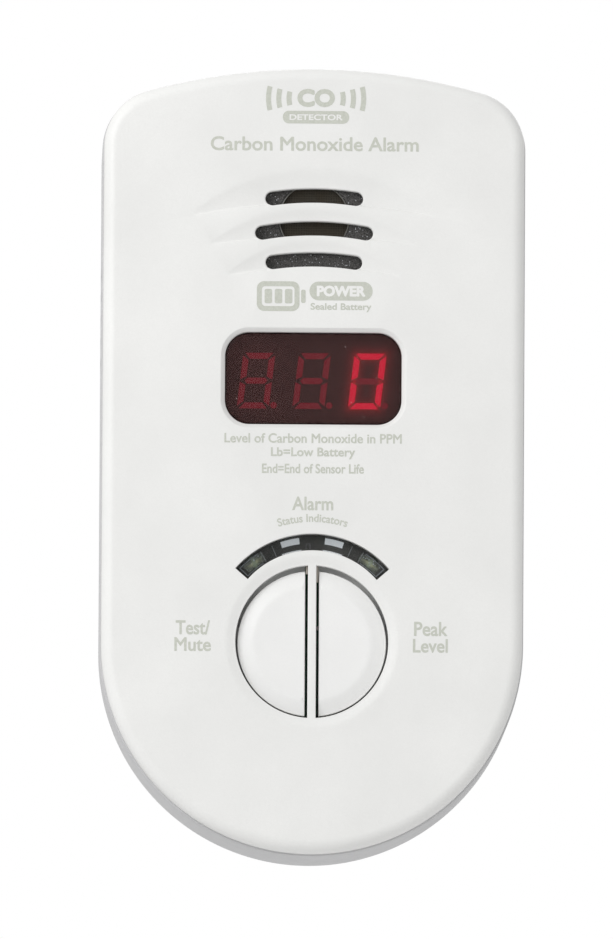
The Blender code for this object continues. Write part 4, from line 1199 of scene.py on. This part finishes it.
class Print:
    """Ink laid on the cover: shapes are added, and letters can be left out of them."""

    def __init__(self):
        self.mesh = bmesh.new()

    def lay(self, loops, keep):
        """Fills the loops, but only where keep says so."""
        spots, _, tris, middles = filled(loops)
        kept = tris[keep(middles)]
        verts = {i: self.mesh.verts.new((spots[i][0], -36 * MM, spots[i][1])) for i in np.unique(kept)}
        for tri in kept:
            self.mesh.faces.new([verts[i] for i in tri])

    def shape(self, loop, *holes):
        loops = [without_repeats(path) for path in (loop, *holes)]
        self.lay(loops, lambda points: within(points, loops))

    def words(self, words, centre, size, weight=0.026, bend=0.0):
        loops, grow = letters(words, centre, size, weight, bend)
        for group in clusters(loops, grow):
            rims = [around(p, q, grow) for loop in group for p, q in zip(loop, loop[1:] + loop[:1])]
            self.lay(group + rims, lambda at, ink=group: within(at, ink) | near(at, ink, grow * 0.999))

    def knocked_out(self, loop, words, centre, size, weight=0.05):
        loop = without_repeats(loop)
        cut, grow = letters(words, centre, size, weight)
        rims = [around(p, q, grow, 3) for path in cut for p, q in zip(path, path[1:] + path[:1])]

        def keep(points):
            return within(points, [loop]) & ~within(points, cut) & ~near(points, cut, grow * 0.999)

        self.lay([loop, *cut, *rims], keep)

    def piece(self, name):
        mesh = self.mesh
        bmesh.ops.dissolve_limit(mesh, angle_limit=0.02, verts=mesh.verts, edges=mesh.edges)
        bmesh.ops.triangulate(mesh, faces=mesh.faces)
        bmesh.ops.recalc_face_normals(mesh, faces=mesh.faces)
        flip = [f for f in mesh.faces if f.normal.y > 0]
        bmesh.ops.reverse_faces(mesh, faces=flip)
        top = mesh.faces[:]
        bottom = bmesh.ops.duplicate(mesh, geom=mesh.verts[:] + mesh.edges[:] + top)
        copies = bottom["vert_map"]
        for face in [g for g in bottom["geom"] if isinstance(g, bmesh.types.BMFace)]:
            face.normal_flip()
        for vert in [g for g in bottom["geom"] if isinstance(g, bmesh.types.BMVert)]:
            vert.co.y += PRINT + 0.004 * MM
        rims = [e for f in top for e in f.edges if e.is_boundary]
        for edge in rims:
            a, b = edge.verts
            mesh.faces.new((b, a, copies[a], copies[b]))
        bmesh.ops.recalc_face_normals(mesh, faces=mesh.faces)
        data = bpy.data.meshes.new(name)
        mesh.to_mesh(data)
        mesh.free()
        settle(bpy.data.objects.new(name, data), "alarm", ink)


def clusters(loops, grow):
    """Loops sorted into letters: those whose widths overlap go together."""
    groups = []
    for loop in sorted(loops, key=lambda path: min(x for x, _ in path)):
        low, high = min(x for x, _ in loop) - grow, max(x for x, _ in loop) + grow
        if groups and low < groups[-1][1]:
            groups[-1][0].append(loop)
            groups[-1][1] = max(groups[-1][1], high)
        else:
            groups.append([[loop], high])
    return [group for group, _ in groups]


def bar(low_x, high_x, low_z, high_z, radius):
    return rounded(*span(low_x, high_x, low_z, high_z), radius * MM, 0, 8)


def span(low_x, high_x, low_z, high_z):
    middle = ((low_x + high_x) / 2 * MM, (low_z + high_z) / 2 * MM)
    return middle, ((high_x - low_x) * MM, (high_z - low_z) * MM)


def marks():
    ink_on = Print()
    centre = (0.2 * MM, 65.45 * MM)
    for side in (0, pi):
        for r in (4.9, 6.75, 8.6):
            half = radians(14.5)
            loop = arc(centre, (r + 0.45) * MM, side - half, side + half, 20)
            ink_on.shape(loop + arc(centre, (r - 0.45) * MM, side + half, side - half, 20))
    ink_on.words("CO", *span(-3.2, 3.6, 63.9, 67.2), 0.07)
    ink_on.knocked_out(bar(-5.8, 6.2, 60.9, 63.2, 1.1), "DETECTOR", *span(-4.6, 5.0, 61.5, 62.6))
    ink_on.piece("mark_gas")
    ink_on = Print()
    ink_on.words("Carbon Monoxide Alarm", *span(-18.8, 18.8, 55.9, 58.5))
    ink_on.piece("mark_title")
    ink_on = Print()
    ink_on.shape(bar(-10.3, -2.6, 26.8, 32.2, 1.3), bar(-9.4, -3.5, 27.7, 31.3, 0.6))
    ink_on.shape(bar(-2.3, -1.5, 28.3, 30.7, 0.3))
    for k in range(3):
        ink_on.shape(bar(-8.9 + 1.83 * k, -7.55 + 1.83 * k, 28.2, 30.8, 0.3))
    ink_on.knocked_out(bar(-0.8, 10.6, 28.8, 32.2, 1.65), "POWER", *span(0.5, 9.3, 29.5, 31.5), 0.07)
    ink_on.words("Sealed Battery", *span(-0.6, 10.4, 26.7, 28.3))
    ink_on.piece("mark_battery")
    ink_on = Print()
    ink_on.words("Level of Carbon Monoxide in PPM", *span(-16, 16, 2.9, 4.65))
    ink_on.words("Lb=Low Battery", *span(-7.6, 7.6, 0.0, 2.1))
    ink_on.words("End=End of Sensor Life", *span(-9.2, 9.2, -2.6, -0.85))
    ink_on.piece("mark_legend")
    ink_on = Print()
    ink_on.words("Alarm", *span(-3.7, 3.7, -9.3, -6.8))
    ink_on.words("Status Indicators", *span(-6.5, 6.5, -11.4, -9.9), 0.026, 21.5 * MM)
    ink_on.piece("mark_status")
    for name, words, spans in (
        ("test", ("Test/", "Mute"), ((-24.6, -18.4, -31.9, -29.3), (-24.8, -18.2, -34.9, -32.4))),
        ("peak", ("Peak", "Level"), ((18.4, 24.4, -31.9, -29.3), (18.2, 24.5, -34.9, -32.4))),
    ):
        ink_on = Print()
        for word, place in zip(words, spans):
            ink_on.words(word, *span(*place))
        ink_on.piece(f"mark_{name}")


marks()


# Camera, light and floor


def camera():
    data = bpy.data.cameras.new("camera")
    data.sensor_width = 36
    data.sensor_fit = "AUTO"
    distance = 3.0
    data.lens = data.sensor_width * distance / (169.3876 * MM)  # over the height that the picture spans
    data.clip_start, data.clip_end = 0.05, 20
    cam = bpy.data.objects.new("camera", data)
    bpy.context.scene.collection.objects.link(cam)
    azimuth, elevation, roll = (radians(a) for a in (-1.04, -5.2, 0.327))
    target = Vector((-1.155 * MM, -36 * MM, -1.896 * MM))
    away = Vector((sin(azimuth) * cos(elevation), -cos(azimuth) * cos(elevation), sin(elevation)))
    cam.location = target + away * distance
    look = (-away).to_track_quat("-Z", "Y").to_matrix().to_4x4()
    cam.rotation_euler = (look @ Matrix.Rotation(roll, 4, "Z")).to_euler()
    bpy.context.scene.camera = cam


def area(name, position, size, power):
    """A rectangular lamp aimed at the origin."""
    data = bpy.data.lights.new(name, "AREA")
    data.shape = "RECTANGLE"
    data.size, data.size_y = size
    data.energy = power
    lamp = bpy.data.objects.new(name, data)
    bpy.context.scene.collection.objects.link(lamp)
    lamp.location = position
    lamp.rotation_euler = (-Vector(position)).to_track_quat("-Z", "Y").to_euler()


def studio():
    """Soft light, brighter from the left and the front, and plain white behind the object."""
    world = bpy.data.worlds.new("studio")
    bpy.context.scene.world = world
    world.use_nodes = True
    w = Nodes(world.node_tree)
    x, y, z = w.axes(w.add("TexCoord", {}))

    def step(value, low, high, to_low, to_high):
        return w.remap(value, low, high, to_low, to_high, interpolation_type="SMOOTHSTEP")

    front = step(y, -0.5, 0.8, 0.905, 0.61)
    height = step(z, -0.9, 0.9, 0.7, 1.0)
    side = step(x, -0.9, 0.9, 1.23, 0.88)
    level = w.times(w.times(front, height), side)
    behind = step(y, 0.93, 0.985, 0.0, 1.0)
    background = w.tree.nodes["Background"]
    w.connect((1, 1, 1), background.inputs["Color"])
    w.connect(w.math("MAXIMUM", level, behind), background.inputs["Strength"])
    area("key", (-0.42, -0.5, 0.24), (0.3, 0.3), 1.5)
    area("back", (0.3, 1.1, 0.7), (0.9, 0.9), 3)
    bpy.context.scene.view_settings.view_transform = "Standard"


def floor():
    bpy.ops.mesh.primitive_plane_add(size=16, location=(0, 0, -0.36))
    plane = bpy.context.object
    plane.name = "floor"
    plane.data.materials.append(moulded("floor_card", (0.84, 0.84, 0.84), 0.7, 2 * MM, 2e-5))


for leftover in [o for o in bpy.data.objects if o.name in ("Cube", "Light", "Camera")]:
    bpy.data.objects.remove(leftover)
camera()
studio()
floor()
